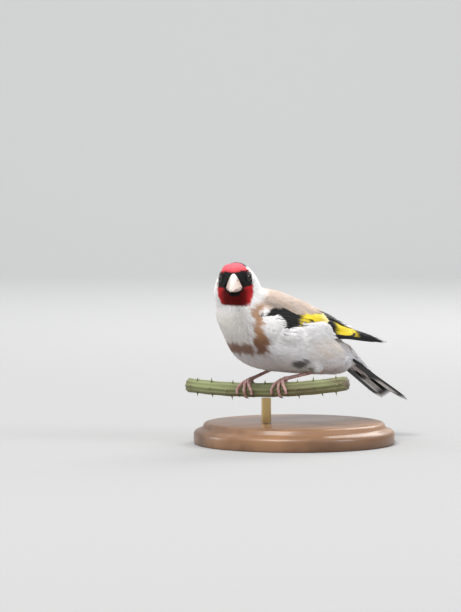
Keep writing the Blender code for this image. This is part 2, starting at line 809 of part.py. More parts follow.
def toe_piece(name, along, toe, collection):
    points, radii = [], []
    knuckles = 7
    for i in range(knuckles):
        share = i / (knuckles - 1)
        angle = math.radians(toe.start + (toe.end - toe.start) * share)
        radius = TOE_RADIUS * (1 - 0.22 * share) * (1.12 if i in (2, 4) else 1.0)
        aside = toe.aside * MM * min(1.0, share * 1.3)
        points.append(grip_point(along, angle, radius * 1.04, aside))
        radii.append(radius)
    for share in (0.2, 0.6, 1.0):
        angle = math.radians(toe.end + toe.claw * share)
        radius = TOE_RADIUS * (0.62 - 0.46 * share)
        points.append(grip_point(along, angle, 0.55 * MM - 0.35 * MM * share, toe.aside * MM))
        radii.append(radius)
    return tapered_tube(name, points, radii, collection)


def ankle_point(along):
    return grip_point(along, math.radians(-14), 1.1 * MM)


def make_leg(side, along, torso_clear, shop, bird):
    word = "left" if side > 0 else "right"
    heel = Vector((side * HEEL.x, HEEL.y, HEEL.z))
    hip = Vector((side * HIP.x, HIP.y, HIP.z))
    ankle = ankle_point(along)
    thigh_line = [hip.lerp(heel, share) for share in (0.0, 0.35, 0.65, 0.85, 0.97, 1.06)]
    thigh_radii = [r * MM for r in (5.2, 4.4, 3.5, 2.9, 2.35, 1.3)]
    thigh = tapered_tube("thigh", thigh_line, thigh_radii, bird, resolution=3)
    thigh.name = f"thigh_{word}"
    boolean(thigh, "DIFFERENCE", other=torso_clear, solver="MANIFOLD")
    keep_largest(thigh)
    shank = [heel.lerp(ankle, share) for share in (0.0, 0.12, 0.5, 0.85, 1.0)]
    shank_radii = [TARSUS_RADIUS * k for k in (1.3, 1.12, 0.95, 1.02, 1.35)]
    leg = tapered_tube("shank", shank, shank_radii, shop)
    leg.name = f"tarsus_{word}"
    thigh_clear = grown(thigh, "thigh_clear", GAP, shop)
    boolean(leg, "DIFFERENCE", other=torso_clear, solver="MANIFOLD")
    boolean(leg, "DIFFERENCE", other=thigh_clear, solver="MANIFOLD")
    keep_largest(leg)
    bpy.data.objects.remove(thigh_clear, do_unlink=True)
    joint_line = (ankle - heel).normalized()
    cut = ankle - joint_line * 2.2 * MM
    keep_side(leg, cut - joint_line * GAP / 2, -joint_line)
    shop.objects.unlink(leg)
    bird.objects.link(leg)
    root_line = [cut + joint_line * GAP / 2, ankle, grip_point(along, 0.1, 0.9 * MM)]
    root = tapered_tube("root", root_line, [TARSUS_RADIUS * k for k in (1.15, 1.35, 1.1)], shop)
    toes = [toe_piece(name, along, toe, shop) for name, toe in TOES.items()]
    fuse(f"foot_{word}", [root, *toes], bird)


# Perch and stand
def spine(root, outward, length, radius, collection):
    bm = bmesh.new()
    bmesh.ops.create_cone(bm, cap_ends=True, segments=4, radius1=radius, radius2=0.05 * MM, depth=length)
    turn = outward.to_track_quat("Z", "Y").to_matrix().to_4x4()
    place = Matrix.Translation(root + outward * (length / 2 - 0.6 * MM)) @ turn
    bmesh.ops.transform(bm, matrix=place, verts=bm.verts)
    return object_from_bmesh("spine", bm, collection)


def make_stem(shop, bird):
    points, radii = [], []
    for i in range(15):
        along = STEM_LENGTH * (i / 14 - 0.5)
        points.append(stem_axis(along))
        radii.append(STEM_RADIUS * (0.985 + 0.015 * math.cos(i * 1.7)))
    stem = tapered_tube("stem", points, radii, shop, resolution=4)
    spines = []
    draw = np.random.default_rng(7)
    for row in range(SPINE_ROWS):
        for i in range(9):
            along = STEM_LENGTH * ((i + 0.5) / 9 - 0.5) + draw.uniform(-2, 2) * MM
            turn = 2 * math.pi * row / SPINE_ROWS + 0.35 + draw.uniform(-0.1, 0.1)
            middle, direction, forward, up = stem_frame(along)
            outward = up * math.cos(turn) + forward * math.sin(turn)
            near_foot = min(abs(along - LEFT_FOOT_ALONG), abs(along - RIGHT_FOOT_ALONG)) < FOOT_CLEAR
            near_rod = abs(along) < 5 * MM and outward.z < 0.2
            if near_foot or near_rod:
                continue
            lean = (outward + direction * draw.uniform(0.2, 0.5)).normalized()
            length = SPINE_LENGTH * draw.uniform(0.8, 1.15)
            spines.append(spine(middle + outward * STEM_RADIUS * 0.97, lean, length, 0.55 * MM, shop))
    fuse("perch_stem", [stem, *spines], bird)


def make_stand(stand):
    bm = bmesh.new()
    profile = [(0.0, BASE_HEIGHT)]
    for inset, below in BASE_MOULDING:
        profile.append((BASE_RADIUS - inset * MM, BASE_HEIGHT - below * MM))
    profile += [(BASE_RADIUS, 0.8 * MM), (BASE_RADIUS - 0.8 * MM, 0.0), (0.0, 0.0)]
    verts = [bm.verts.new((r, 0, z)) for r, z in profile]
    for a, b in zip(verts, verts[1:]):
        bm.edges.new((a, b))
    base = object_from_bmesh("stand_base", bm, stand)
    turned = base.modifiers.new("turned", "SCREW")
    turned.steps = turned.render_steps = 40
    turned.use_merge_vertices = True
    turned.merge_threshold = 0.00005
    bake_modifiers(base)

    foot = GRIP_PLACE + STEM_CENTRE - Vector((0, 0, STEM_RADIUS + GAP))
    length = foot.z - BASE_HEIGHT - GAP
    bm = bmesh.new()
    radii = {"radius1": ROD_RADIUS, "radius2": ROD_RADIUS}
    bmesh.ops.create_cone(bm, cap_ends=True, segments=20, depth=length, **radii)
    rod = object_from_bmesh("stand_rod", bm, stand)
    rod.location = (foot.x, foot.y, BASE_HEIGHT + GAP + length / 2)


NODE_FINISH = {
    "white_feathers": ("torso", "neck", "thigh_left", "thigh_right"),
    "face_feathers": ("head",),
    "black_feathers": ("tail", "wing_left", "wing_right"),
    "eye_gloss": ("eye_left", "eye_right"),
    "bill_horn": ("bill_upper", "bill_lower"),
    "leg_skin": ("tarsus_left", "tarsus_right", "foot_left", "foot_right"),
    "thistle_stem": ("perch_stem",),
    "stand_wood": ("stand_base",),
    "stand_brass": ("stand_rod",),
}


def finish_nodes(bird):
    for obj in bird.objects:
        obj.location = GRIP_PLACE
    for finish, names in NODE_FINISH.items():
        for name in names:
            mesh = bpy.data.objects[name].data
            mesh.materials.clear()
            mesh.materials.append(material(finish))
            mesh.shade_smooth()
            mesh.set_sharp_from_angle(angle=math.radians(35))


def main():
    clear_scene()
    bird = new_collection("goldfinch")
    stand = new_collection("display_stand")
    shop = new_collection("cutters")

    body = whole_body(shop)
    cuts = body_cuts()
    body_clear = grown(body, "body_clear", GAP, shop)
    slice_between(body, "torso", cuts["tail"], cuts["neck"], bird)
    slice_between(body, "neck", cuts["neck"], cuts["head"], bird)
    make_head(body, cuts, shop, bird)
    wing = make_wing(body_clear, shop, bird)
    mirrored(wing, "wing_right", bird)
    make_tail(body, cuts, shop, bird)
    make_leg(1, LEFT_FOOT_ALONG, body_clear, shop, bird)
    make_leg(-1, RIGHT_FOOT_ALONG, body_clear, shop, bird)
    make_stem(shop, bird)
    make_stand(stand)
    for obj in list(shop.objects):
        bpy.data.objects.remove(obj, do_unlink=True)
    finish_nodes(bird)


main()
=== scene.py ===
"""The looks of a European goldfinch, life size, on a cut thistle stem held by a plain display stand.

Shapes are worked out in millimetres from the bird's grip point, with the body facing -Y and its left
side at +X, and are turned into metres in the frame's own axes when a piece is made.
"""

import itertools
import math
from collections import namedtuple

import bmesh
import bpy
import numpy as np
from mathutils import Matrix, Vector
from mathutils.bvhtree import BVHTree


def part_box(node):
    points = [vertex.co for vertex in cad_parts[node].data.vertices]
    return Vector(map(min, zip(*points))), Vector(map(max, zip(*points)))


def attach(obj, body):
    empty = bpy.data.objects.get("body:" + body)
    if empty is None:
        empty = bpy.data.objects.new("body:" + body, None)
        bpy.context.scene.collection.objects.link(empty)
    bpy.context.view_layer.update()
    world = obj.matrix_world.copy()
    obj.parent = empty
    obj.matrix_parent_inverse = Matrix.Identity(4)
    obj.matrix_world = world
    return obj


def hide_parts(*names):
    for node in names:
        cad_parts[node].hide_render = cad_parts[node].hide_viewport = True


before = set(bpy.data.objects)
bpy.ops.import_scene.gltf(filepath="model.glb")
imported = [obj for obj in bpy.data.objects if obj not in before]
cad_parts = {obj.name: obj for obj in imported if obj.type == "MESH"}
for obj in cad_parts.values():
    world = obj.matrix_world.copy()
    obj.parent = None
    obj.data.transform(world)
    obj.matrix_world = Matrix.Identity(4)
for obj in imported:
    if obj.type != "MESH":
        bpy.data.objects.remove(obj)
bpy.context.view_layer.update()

MM = 0.001
GRIP = np.array((0.0, -6.0, 28.0))  # the bird's grip point over the middle of the base
SIDES = (1, -1)
WORDS = {1: "left", -1: "right"}

# Camera, in the photograph's own pixels
IMAGE_WIDTH, IMAGE_HEIGHT = 461, 612
PIXELS_PER_MM = 2.4
GRIP_PIXEL = (283.0, 377.0)
VIEW_AZIMUTH = math.radians(52)
VIEW_ELEVATION = math.radians(3)
VIEW_DISTANCE = 1300.0

# Head, as in the part
HEAD_CENTRE = np.array((1.0, -25.4, 39.2))
HEAD_TURN = math.radians(45)
HEAD_PITCH = math.radians(-8)
HEAD_ROLL = math.radians(-3)
BILL_BASE = 8.2
BILL_RISE = 1.3
BILL_LENGTH = 11.2
BILL_HALF_WIDTH = 3.3
UPPER_DEPTH = 5.6
LOWER_DEPTH = 1.6
MOUTH_DROP = 0.4
GAPE_DROP = 1.2
BILL_TILT = math.radians(-2)
BILL_GAP = 0.3
EYE_RADIUS = 2.5
EYE_PLACE = (3.0, 4.45, 3.5)
EYE_AIM = (0.34, 1.0, 0.06)
LID_RADIUS = 2.05
LID_HALF_WIDTH, LID_HALF_HEIGHT = 0.42, 0.34
LID_OUT = 1.45  # from the eye's centre to the lid's ring, along the eye's axis

# Legs, stem and rod, as in the part
HEEL = (14.2, 8.4, 3.2)
STEM_RADIUS = 3.0
STEM_LENGTH = 78.0
STEM_YAW = math.radians(18)
STEM_RISE = math.radians(3)
STEM_BEND = 2.4
STEM_CENTRE = np.array((-0.5, -8.5, -5.0))
FOOT_GAP = 0.3
FOOT_ALONG = {1: 8.4, -1: -8.6}
TOE_RADIUS = 0.72
TARSUS_RADIUS = 0.75
ROD_RADIUS = 2.0
BASE_PROFILE = (
    (0.01, 9.0), (36.0, 9.0), (37.2, 8.75), (37.8, 8.2), (38.2, 7.2), (38.6, 6.6), (39.6, 6.2),
    (40.8, 5.8), (41.6, 5.2), (42.0, 4.4), (42.0, 0.8), (41.75, 0.25), (41.2, 0.0), (0.01, 0.0),
)

# Folded wing and tail, as in the part
WING_LOW = ((11.0, -22, 25.0), (15.6, -6, 18.5), (15.0, 14, 14.8), (8.8, 36, 14.2), (2.4, 55, 11.6))
WING_HIGH = ((9.0, -20, 29.0), (9.2, -4, 30.2), (5.4, 16, 25.0), (2.8, 36, 17.6), (1.6, 54.5, 12.6))
WING_BULGE = 2.0
TAIL_ROOT = np.array((0.0, 22.0, 14.6))
TAIL_PITCH = math.radians(-31)
TAIL_LENGTH = 48.0
TAIL_PAIRS = 6

# Coat
FLESH = ("torso", "neck", "head", "thigh_left", "thigh_right")
JOIN = 0.25  # how far each flesh solid is swollen so that neighbours meet
SKIN_VOXEL = 0.5
PIECE_TRIANGLES = 190000
TRIED_PLACES = 230000  # random places on the skin, of which the spacing keeps some
COVER_DEPTH = 2.4  # a small feather is left out where its root lies no deeper under a large one
RUMP_FROM, RUMP_COVER_DEPTH = 24.0, 5.0  # where the rump begins along the body, and its own such depth
EYE_CLEARANCE = 2.25  # from an eye's axis to the nearest root
TIP_LOOK = 6.0  # large feathers are looked for from this height over each tip
TIP_RISE = 1.4  # a tip lies over a large feather that is no higher than this over it
TIP_LAP = 0.25  # and this far over its surface

# Loose feathers fluffed over the folded wing and the heel: centre and radii on the left side
LOOSE_FEATHERS = {
    "flank": ((9.3, 3.0, 18.2), (9.3, 15.5, 8.7)),
    "shoulder": ((11.0, -16.0, 21.6), (5.6, 7.2, 7.2)),
    "mantle_front": ((9.4, -5.0, 28.0), (5.3, 10.0, 3.0)),
    "wrist": ((9.6, -19.0, 27.6), (3.6, 4.5, 3.0)),
    "mantle_middle": ((8.6, 3.0, 27.6), (5.4, 7.0, 2.3)),
    "mantle_rear": ((7.4, 9.0, 27.0), (4.6, 4.8, 1.6)),
    "flank_front": ((12.2, -6.0, 18.2), (6.5, 8.5, 6.5)),
    "heel": ((14.9, 5.3, 4.4), (3.0, 3.2, 3.2)),
}
# Root of the tail under its coverts: distance along the tail, half width, half height and lift
RUMP = ((10, 4.6, 4.3, 1.2), (17, 4.3, 3.6, 0.5), (24, 3.5, 2.7, 0.0), (31, 2.6, 1.3, -0.5))
BROW_PLACE = (0.7, -2.2, 5.4)  # a fluffed brow on the right of the head, in the head's frame
BROW_RADIUS = 4.0

# Colours, linear
WHITE = (0.87, 0.85, 0.84)
# grey of the painted shade on the belly and the upper flank
SHADE = (0.56, 0.54, 0.57)
CREAM = (0.78, 0.70, 0.58)
TAN = (0.66, 0.52, 0.43)
BUFF = (0.66, 0.53, 0.40)
CHESTNUT = (0.43, 0.20, 0.072)
UMBER = (0.19, 0.078, 0.036)
RED = (0.66, 0.026, 0.030)
# painted highlight: a paler rose red for the top of the forehead
RED_HIGHLIGHT = (0.72, 0.27, 0.34)
CRIMSON = (0.10, 0.003, 0.003)
BLACK = (0.010, 0.009, 0.010)
SLATE = (0.10, 0.09, 0.09)
YELLOW = (0.93, 0.70, 0.035)
BARK = (0.055, 0.045, 0.040)


# Small helpers
def lerp(a, b, share):
    return a + (b - a) * share


def smooth(low, high, value):
    share = np.clip((np.asarray(value, float) - low) / (high - low), 0.0, 1.0)
    return share * share * (3 - 2 * share)


def unit(vectors):
    vectors = np.asarray(vectors, float)
    return vectors / np.maximum(np.linalg.norm(vectors, axis=-1, keepdims=True), 1e-9)


def catmull(rows, shares):
    """Points on a smooth curve through the rows, at shares of its length from 0 to 1."""
    rows = np.asarray(rows, float)
    ends = np.vstack([2 * rows[0] - rows[1], rows, 2 * rows[-1] - rows[-2]])
    place = np.clip(np.asarray(shares, float), 0, 1) * (len(rows) - 1)
    index = np.minimum(place.astype(int), len(rows) - 2)
    t = (place - index)[..., None]
    a, b, c, d = (ends[index + k] for k in range(4))
    return 0.5 * (2 * b + (c - a) * t + (2 * a - 5 * b + 4 * c - d) * t**2 + (3 * b - a - 3 * c + d) * t**3)


def to_world(points):
    return (np.asarray(points, float) + GRIP) * MM


def head_matrix():
    facing = Matrix.Rotation(-math.pi / 2, 4, "Z")
    turn = Matrix.Rotation(HEAD_TURN, 4, "Z")
    pitch = Matrix.Rotation(-HEAD_PITCH, 4, "Y")
    roll = Matrix.Rotation(-HEAD_ROLL, 4, "X")
    return Matrix.Translation(Vector(HEAD_CENTRE)) @ facing @ turn @ pitch @ roll


HEAD = head_matrix()
HEAD_TURNING = np.array(HEAD.to_3x3())
BILL = HEAD @ Matrix.Translation((BILL_BASE, 0, BILL_RISE)) @ Matrix.Rotation(-BILL_TILT, 4, "Y")
BILL_ROOT = np.array(BILL.translation)


def in_head(points):
    """Points in the head's own frame: forward, left, up."""
    return (np.asarray(points, float) - HEAD_CENTRE) @ HEAD_TURNING


def eye_centre(side):
    return np.array(HEAD @ Vector((EYE_PLACE[0], side * EYE_PLACE[1], EYE_PLACE[2])))


def eye_axis(side):
    return unit(np.array(HEAD.to_3x3() @ Vector((EYE_AIM[0], side * EYE_AIM[1], EYE_AIM[2]))))


# Pieces
def mesh_from(name, bm):
    mesh = bpy.data.meshes.new(name)
    bm.to_mesh(mesh)
    bm.free()
    return mesh


def new_object(name, data):
    obj = bpy.data.objects.new(name, data)
    bpy.context.scene.collection.objects.link(obj)
    return obj


def finish_piece(obj, material, replaces=()):
    obj.data.materials.clear()
    obj.data.materials.append(material)
    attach(obj, "root")
    if replaces:
        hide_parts(*replaces)
    return obj


def piece_from_bmesh(name, bm, material, replaces=(), scale_to_world=True):
    """A piece from a bmesh whose points are in the bird's millimetres."""
    if scale_to_world:
        for vert in bm.verts:
            vert.co = Vector((vert.co + Vector(GRIP)) * MM)
    bmesh.ops.recalc_face_normals(bm, faces=bm.faces)
    mesh = mesh_from(name, bm)
    mesh.shade_smooth()
    return finish_piece(new_object(name, mesh), material, replaces)


def piece_from_arrays(name, points, faces, tints, material, replaces=(), maps=None, shading=None):
    """A piece from point and face arrays, with a colour for each point, UV maps and shading normals."""
    mesh = bpy.data.meshes.new(name)
    size = faces.shape[1]
    mesh.vertices.add(len(points))
    mesh.vertices.foreach_set("co", to_world(points).astype(np.float32).ravel())
    mesh.loops.add(faces.size)
    mesh.loops.foreach_set("vertex_index", faces.astype(np.int32).ravel())
    mesh.polygons.add(len(faces))
    mesh.polygons.foreach_set("loop_start", np.arange(0, faces.size, size, dtype=np.int32))
    mesh.update(calc_edges=True)
    paint(mesh, tints)
    for map_name, places in (maps or {}).items():
        layer = mesh.uv_layers.new(name=map_name)
        layer.uv.foreach_set("vector", places[faces.ravel()].astype(np.float32).ravel())
    mesh.shade_smooth()
    if shading is not None:
        mesh.normals_split_custom_set_from_vertices(shading.astype(np.float32))
    return finish_piece(new_object(name, mesh), material, replaces)


def paint(mesh, tints):
    """Stores a colour for each point, as the attribute that the materials read."""
    layer = mesh.color_attributes.new(name="Tint", type="FLOAT_COLOR", domain="POINT")
    colours = np.ones((len(mesh.vertices), 4), np.float32)
    colours[:, :3] = tints
    layer.data.foreach_set("color", colours.ravel())


class Gathered:
    """Rows of arrays for many small shapes, joined into one set of points, faces and the rest."""

    def __init__(self):
        self.rows = []
        self.count = 0

    def add(self, points, faces, *others):
        self.rows.append((points, faces + self.count, *others))
        self.count += len(points)

    def joined(self):
        return [np.vstack(column) for column in zip(*self.rows)]


def loft(rings, closed_ends=True):
    """A bmesh through rings of points, bridged one to the next."""
    bm = bmesh.new()
    loops = []
    for ring in rings:
        verts = [bm.verts.new(point) for point in ring]
        edges = [bm.edges.new((a, b)) for a, b in zip(verts, verts[1:] + verts[:1])]
        loops.append(edges)
    for lower, upper in zip(loops, loops[1:]):
        bmesh.ops.bridge_loops(bm, edges=lower + upper)
    if closed_ends:
        for edges in (loops[0], loops[-1]):
            bmesh.ops.contextual_create(bm, geom=edges)
    return bm


def turned(profile, merge):
    """A bmesh turned round the upright axis from (radius, height) places in metres."""
    bm = bmesh.new()
    verts = [bm.verts.new((radius, 0, height)) for radius, height in profile]
    edges = [bm.edges.new(pair) for pair in zip(verts, verts[1:])]
    bmesh.ops.spin(
        bm, geom=verts + edges, cent=(0, 0, 0), axis=(0, 0, 1), angle=2 * math.pi, steps=96, use_merge=True
    )
    bmesh.ops.remove_doubles(bm, verts=bm.verts, dist=merge)
    return bm


def ring_round(centre, along, reference, radii, count):
    """Points round a centre, square to the direction, with one radius or one for each point."""
    along = unit(along)
    side = unit(np.cross(along, reference))
    up = np.cross(side, along)
    angles = np.linspace(0, 2 * math.pi, count, endpoint=False)
    reach = np.broadcast_to(radii, count)
    return centre + (np.outer(np.cos(angles) * reach, up) + np.outer(np.sin(angles) * reach, side))


# Materials
def shader_of(material):
    return material.node_tree.nodes["Principled BSDF"]


def new_material(name, colour, roughness, metallic=0.0, coat=0.0, sheen=0.0, subsurface=0.0, gloss=0.5):
    material = bpy.data.materials.new(name)
    material.use_nodes = True
    settings = {
        "Base Color": (*colour, 1), "Roughness": roughness, "Metallic": metallic, "Coat Weight": coat,
        "Coat Roughness": 0.08, "Sheen Weight": sheen, "Specular IOR Level": gloss,
        "Subsurface Weight": subsurface, "Subsurface Scale": 0.0006,
    }
    for setting, value in settings.items():
        shader_of(material).inputs[setting].default_value = value
    return material


def add_node(material, kind, place=(0, 0), **settings):
    made = material.node_tree.nodes.new(kind)
    made.location = place
    for key, value in settings.items():
        if key in made.inputs:
            made.inputs[key].default_value = value
        else:
            setattr(made, key, value)
    return made


def join(material, source, output, target, socket):
    material.node_tree.links.new(source.outputs[output], target.inputs[socket])


def noise_on(material, scale, detail=3.0, stretch=(1, 1, 1)):
    """A noise texture in the object's own coordinates, with the grain stretched along an axis."""
    coords = add_node(material, "ShaderNodeTexCoord", (-1100, 0))
    mapping = add_node(material, "ShaderNodeMapping", (-900, 0))
    mapping.inputs["Scale"].default_value = stretch
    noise = add_node(material, "ShaderNodeTexNoise", (-700, 0), Scale=scale, Detail=detail)
    join(material, coords, "Object", mapping, "Vector")
    join(material, mapping, "Vector", noise, "Vector")
    return noise


def bump_from(material, source, output, strength, distance):
    bump = add_node(material, "ShaderNodeBump", (-300, -300), Strength=strength, Distance=distance)
    join(material, source, output, bump, "Height")
    join(material, bump, "Normal", shader_of(material), "Normal")


def grained_material(name, colour, roughness, grain, bump, tones=(), **finish):
    """A material with noise in its surface, and in its colour where two places and tones are given."""
    material = new_material(name, colour, roughness, **finish)
    noise = noise_on(material, *grain)
    if tones:
        ramp = add_node(material, "ShaderNodeValToRGB", (-450, 200))
        for element, (place, tone) in zip(ramp.color_ramp.elements, tones):
            element.position = place
            element.color = (*tone, 1)
        join(material, noise, "Fac", ramp, "Fac")
        join(material, ramp, "Color", shader_of(material), "Base Color")
    bump_from(material, noise, "Fac", *bump)
    return material


def tinted_material(name, roughness, grain_scale, grain, bump, **finish):
    """A material coloured by the Tint attribute, with a fine uneven grain over it."""
    material = new_material(name, (0.5, 0.5, 0.5), roughness, **finish)
    tint = add_node(material, "ShaderNodeAttribute", (-900, 300), attribute_name="Tint")
    noise = noise_on(material, grain_scale)
    shade = add_node(material, "ShaderNodeMapRange", (-500, 0))
    shade.inputs["To Min"].default_value = 1 - grain
    shade.inputs["To Max"].default_value = 1 + grain
    mix = add_node(material, "ShaderNodeVectorMath", (-300, 200), operation="SCALE")
    join(material, noise, "Fac", shade, "Value")
    join(material, tint, "Color", mix, 0)
    join(material, shade, "Result", mix, "Scale")
    join(material, mix, "Vector", shader_of(material), "Base Color")
    bump_from(material, noise, "Fac", bump, 0.0002)
    return material


def vane_material():
    """Flight feathers: the tint, fine slanting barbs on either side of the shaft, and a soft gloss."""
    material = tinted_material("flight_vane", 0.46, 700, 0.10, 0.1, gloss=0.18)
    barbs_map = add_node(material, "ShaderNodeUVMap", (-1100, -400), uv_map="Vane")
    barbs = add_node(material, "ShaderNodeTexWave", (-700, -400), wave_type="BANDS", bands_direction="Y")
    barbs.inputs["Scale"].default_value = 1.1
    barbs.inputs["Distortion"].default_value = 0.6
    join(material, barbs_map, "UV", barbs, "Vector")
    bump_from(material, barbs, "Fac", 0.35, 0.00008)
    return material


def wood_material():
    tones = (0.34, (0.10, 0.045, 0.020)), (0.68, (0.30, 0.155, 0.075))
    grain = (60, 6.0, (1, 0.12, 1))
    return grained_material("walnut", (0.2, 0.1, 0.05), 0.42, grain, (0.15, 0.0002), tones, coat=0.25)


def brass_material():
    material = new_material("brushed_brass", (0.60, 0.43, 0.20), 0.3, metallic=1.0)
    noise = noise_on(material, 400, 3.0, (1, 1, 0.02))
    rough = add_node(material, "ShaderNodeMapRange", (-450, -100))
    rough.inputs["To Min"].default_value = 0.2
    rough.inputs["To Max"].default_value = 0.4
    join(material, noise, "Fac", rough, "Value")
    join(material, rough, "Result", shader_of(material), "Roughness")
    bump_from(material, noise, "Fac", 0.08, 0.0001)
    return material


# Markings
def even(colour, count):
    """The same colour for each of so many points."""
    return np.tile(np.array(colour), (count, 1))


def mix(colours, colour, share):
    return lerp(colours, np.array(colour), np.asarray(share)[:, None])


def speckle(points, waves):
    """An uneven value for each point, for the edges of the markings."""
    return sum(size * np.sin(points @ np.array(direction)) for size, direction in waves)


def head_markings(points, colours):
    """Red face, black lores, crown and nape band, white cheeks."""
    forward, left, up = in_head(points).T
    across = np.abs(left)
    reach = np.linalg.norm(points - HEAD_CENTRE, axis=1)
    on_head = 1 - smooth(11.5, 14.5, reach)
    wobble = speckle(points, ((0.35, (2.1, 1.7, 2.9)), (0.2, (-3.7, 4.1, 1.3))))

    colours = mix(colours, WHITE, on_head)
    # buff wash on the lower cheek's rear edge
    colours = mix(colours, BUFF, on_head * 0.35 * smooth(-2.0, -8.0, forward) * (1 - smooth(0, 5, up)))
    # black crown that runs down behind the cheek
    crown = smooth(0.3, -0.4, forward + 0.6 * wobble) * smooth(6.2, 7.0, up + 0.12 * forward + wobble)
    nape = smooth(-5.6, -6.6, forward + wobble * 0.8) * smooth(-2.5, -0.5, up)
    back_of_neck = smooth(-7.8, -9.0, forward) * (1 - smooth(-1.5, 0.5, up)) * smooth(5.0, 3.0, across)
    colours = mix(colours, BLACK, on_head * np.clip(crown + nape, 0, 1))
    colours = mix(colours, TAN, on_head * back_of_neck * 0.8)
    # red mask: forehead, round the eyes and down to the throat
    edge = -0.6 + 2.6 * smooth(8.4, 5.6, up) + 0.9 * smooth(1.8, -0.8, up)
    mask = smooth(edge - 0.25, edge + 0.25, forward + 0.5 * wobble)
    mask *= smooth(7.7, 7.0, across + 0.3 * wobble + 0.16 * smooth(-3.0, -7.0, up) * across)
    mask *= smooth(-7.8, -7.1, up + wobble * 0.35)
    bill_near = np.linalg.norm(points - BILL_ROOT, axis=1)
    middle = smooth(6.6, 4.0, across) * smooth(0.5, -1.5, up)
    dark = np.clip(0.35 * smooth(3.5, 0.0, up) + 0.60 * middle, 0, 1)
    # painted highlight: the red grows paler and pinker towards the top of the forehead, where light from
    # above falls
    red = mix(even(RED, len(points)), RED_HIGHLIGHT, smooth(5.5, 8.5, up) * 0.5)
    red = mix(red, CRIMSON, dark)
    colours = lerp(colours, red, (mask * on_head)[:, None])
    # black lores from the bill to the eye, and the narrow band round the bill's root
    eye_line = (np.abs((across - 3.9) / 4.0) ** 4 + np.abs((up - 3.4) / 3.2) ** 4) ** 0.25
    lores = smooth(1.05, 0.92, eye_line + wobble * 0.10) * smooth(1.6, 2.4, forward)
    rim = bill_rim(points)
    reach = 1.1 + 0.8 * smooth(3.6, 1.6, across)
    chin = smooth(reach + 0.35, reach - 0.2, rim + wobble * 0.2) * smooth(1.5, 0.0, up)
    root = smooth(1.05, 0.65, rim + wobble * 0.12)
    black = np.clip(lores + chin + root, 0, 1) * smooth(10.5, 9.0, bill_near)
    return mix(colours, BLACK, on_head * black)


def bill_rim(points):
    """About how far points on the face lie outside the bill's root, in mm."""
    local = (np.asarray(points, float) - BILL_ROOT) @ np.array(BILL.to_3x3())
    across, high = np.abs(local[:, 1]), local[:, 2] + GAPE_DROP
    wide, tall = across / BILL_HALF_WIDTH, np.clip(high, 0, None) / UPPER_DEPTH
    above = (wide**1.35 + tall**1.35) ** (1 / 1.35)
    below = np.hypot(across / BILL_HALF_WIDTH, high / LOWER_DEPTH)
    size = np.where(high > 0, above, below)
    return np.hypot(across, high) * (1 - 1 / np.maximum(size, 0.05))


def body_markings(points):
    """White underparts with warm breast patches, tan back and pale rump."""
    x, y, z = points.T
    across = np.abs(x)
    colours = even(WHITE, len(points))
    wobble = speckle(points, ((1.0, (0.9, 0.7, 1.1)), (0.5, (-1.9, 1.4, 2.3))))
    # height of the line where the back's tan begins, falling towards the tail
    line = 24.6 - 0.42 * (y + 4.0) * (y > -4) + 0.30 * (-y - 4.0) * (y < -4)
    back = smooth(-0.8, 1.2, z - line + 0.5 * wobble) * smooth(-25, -20, y)
    side = np.interp(y, (-20, -12, -4, 6, 14), (27.0, 26.4, 24.8, 23.9, 24.4))
    back *= 1 - smooth(8, 10, across) * smooth(side + 0.5, side - 0.5, z + 0.2 * wobble) * smooth(-17, -13, y)
    rump = smooth(20, 27, y)
    colours = mix(colours, TAN, back * (1 - rump) * (0.92 + 0.06 * wobble))
    colours = mix(colours, BUFF, back * rump * 0.45)
    # breast
    turn = np.degrees(np.arctan2(across, -(y + 8.0)))
    front = smooth(86, 70, turn)
    cream = front * smooth(11, 16, z) * smooth(33, 28, z) * smooth(11, 7, across)
    colours = mix(colours, CREAM, cream * 0.35)
    middle = 39.5 + 0.25 * (25 - z)
    width = 8.0 + 6.0 * smooth(23, 14, z)
    band = smooth(width, width - 6, np.abs(turn - middle) + 2.0 * wobble)
    band *= smooth(9.0, 12.0, z + 0.5 * wobble) * smooth(34.5, 31.5, z + 0.5 * wobble)
    lower = smooth(34, 26, turn) * smooth(9.5, 11.5, z + 0.4 * wobble) * smooth(16.4, 14.0, z + 0.4 * wobble)
    patch = np.clip(band * (0.88 + 0.12 * smooth(26, 15, z)) + lower * 0.95, 0, 1) * front
    warm = mix(even(CHESTNUT, len(points)), UMBER, smooth(20, 14, z))
    colours = lerp(colours, warm, (patch * 0.95)[:, None])
    # painted shade: grey low on the belly and on the upper flank, and the warm wash of the flank
    shade = 0.55 * smooth(22, 9, z) + 0.45 * smooth(17, 22, z) * smooth(-10, -4, y) * (1 - back)
    colours = mix(colours, SHADE, shade * (1 - patch))
    wash = smooth(-4, 9, y) * smooth(26, 17, y) * smooth(6, 10, z) * smooth(19, 13, z) * smooth(7, 11, across)
    colours = mix(colours, BUFF, wash * (0.42 + 0.12 * wobble))
    # dark grey ahead of the thigh: partly the grey down showing there, partly painted shadow between the
    # thigh and the belly
    ahead = np.sqrt(((across - 13.2) / 4.0) ** 2 + ((y + 2.7) / 4.2) ** 2 + ((z - 6.9) / 2.3) ** 2)
    return mix(colours, SLATE, smooth(1.15, 0.75, ahead + 0.12 * wobble) * 0.95)


def markings(points):
    """Colour of the plumage at points of the bird."""
    return np.clip(head_markings(points, body_markings(points)), 0, 1)


# Skin
def swollen_flesh(name):
    """A copy of a flesh solid, merged and swollen a little, in the bird's millimetres."""
    bm = bmesh.new()
    bm.from_mesh(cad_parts[name].data)
    bmesh.ops.remove_doubles(bm, verts=bm.verts, dist=1e-7)
    bmesh.ops.recalc_face_normals(bm, faces=bm.faces)
    bm.normal_update()
    shifts = [vert.normal * JOIN for vert in bm.verts]
    for vert, shift in zip(bm.verts, shifts):
        vert.co = Vector(vert.co) / MM - Vector(GRIP) + shift
    return bm


def add_to(bm, other):
    mesh = mesh_from("part", other)
    bm.from_mesh(mesh)
    bpy.data.meshes.remove(mesh)


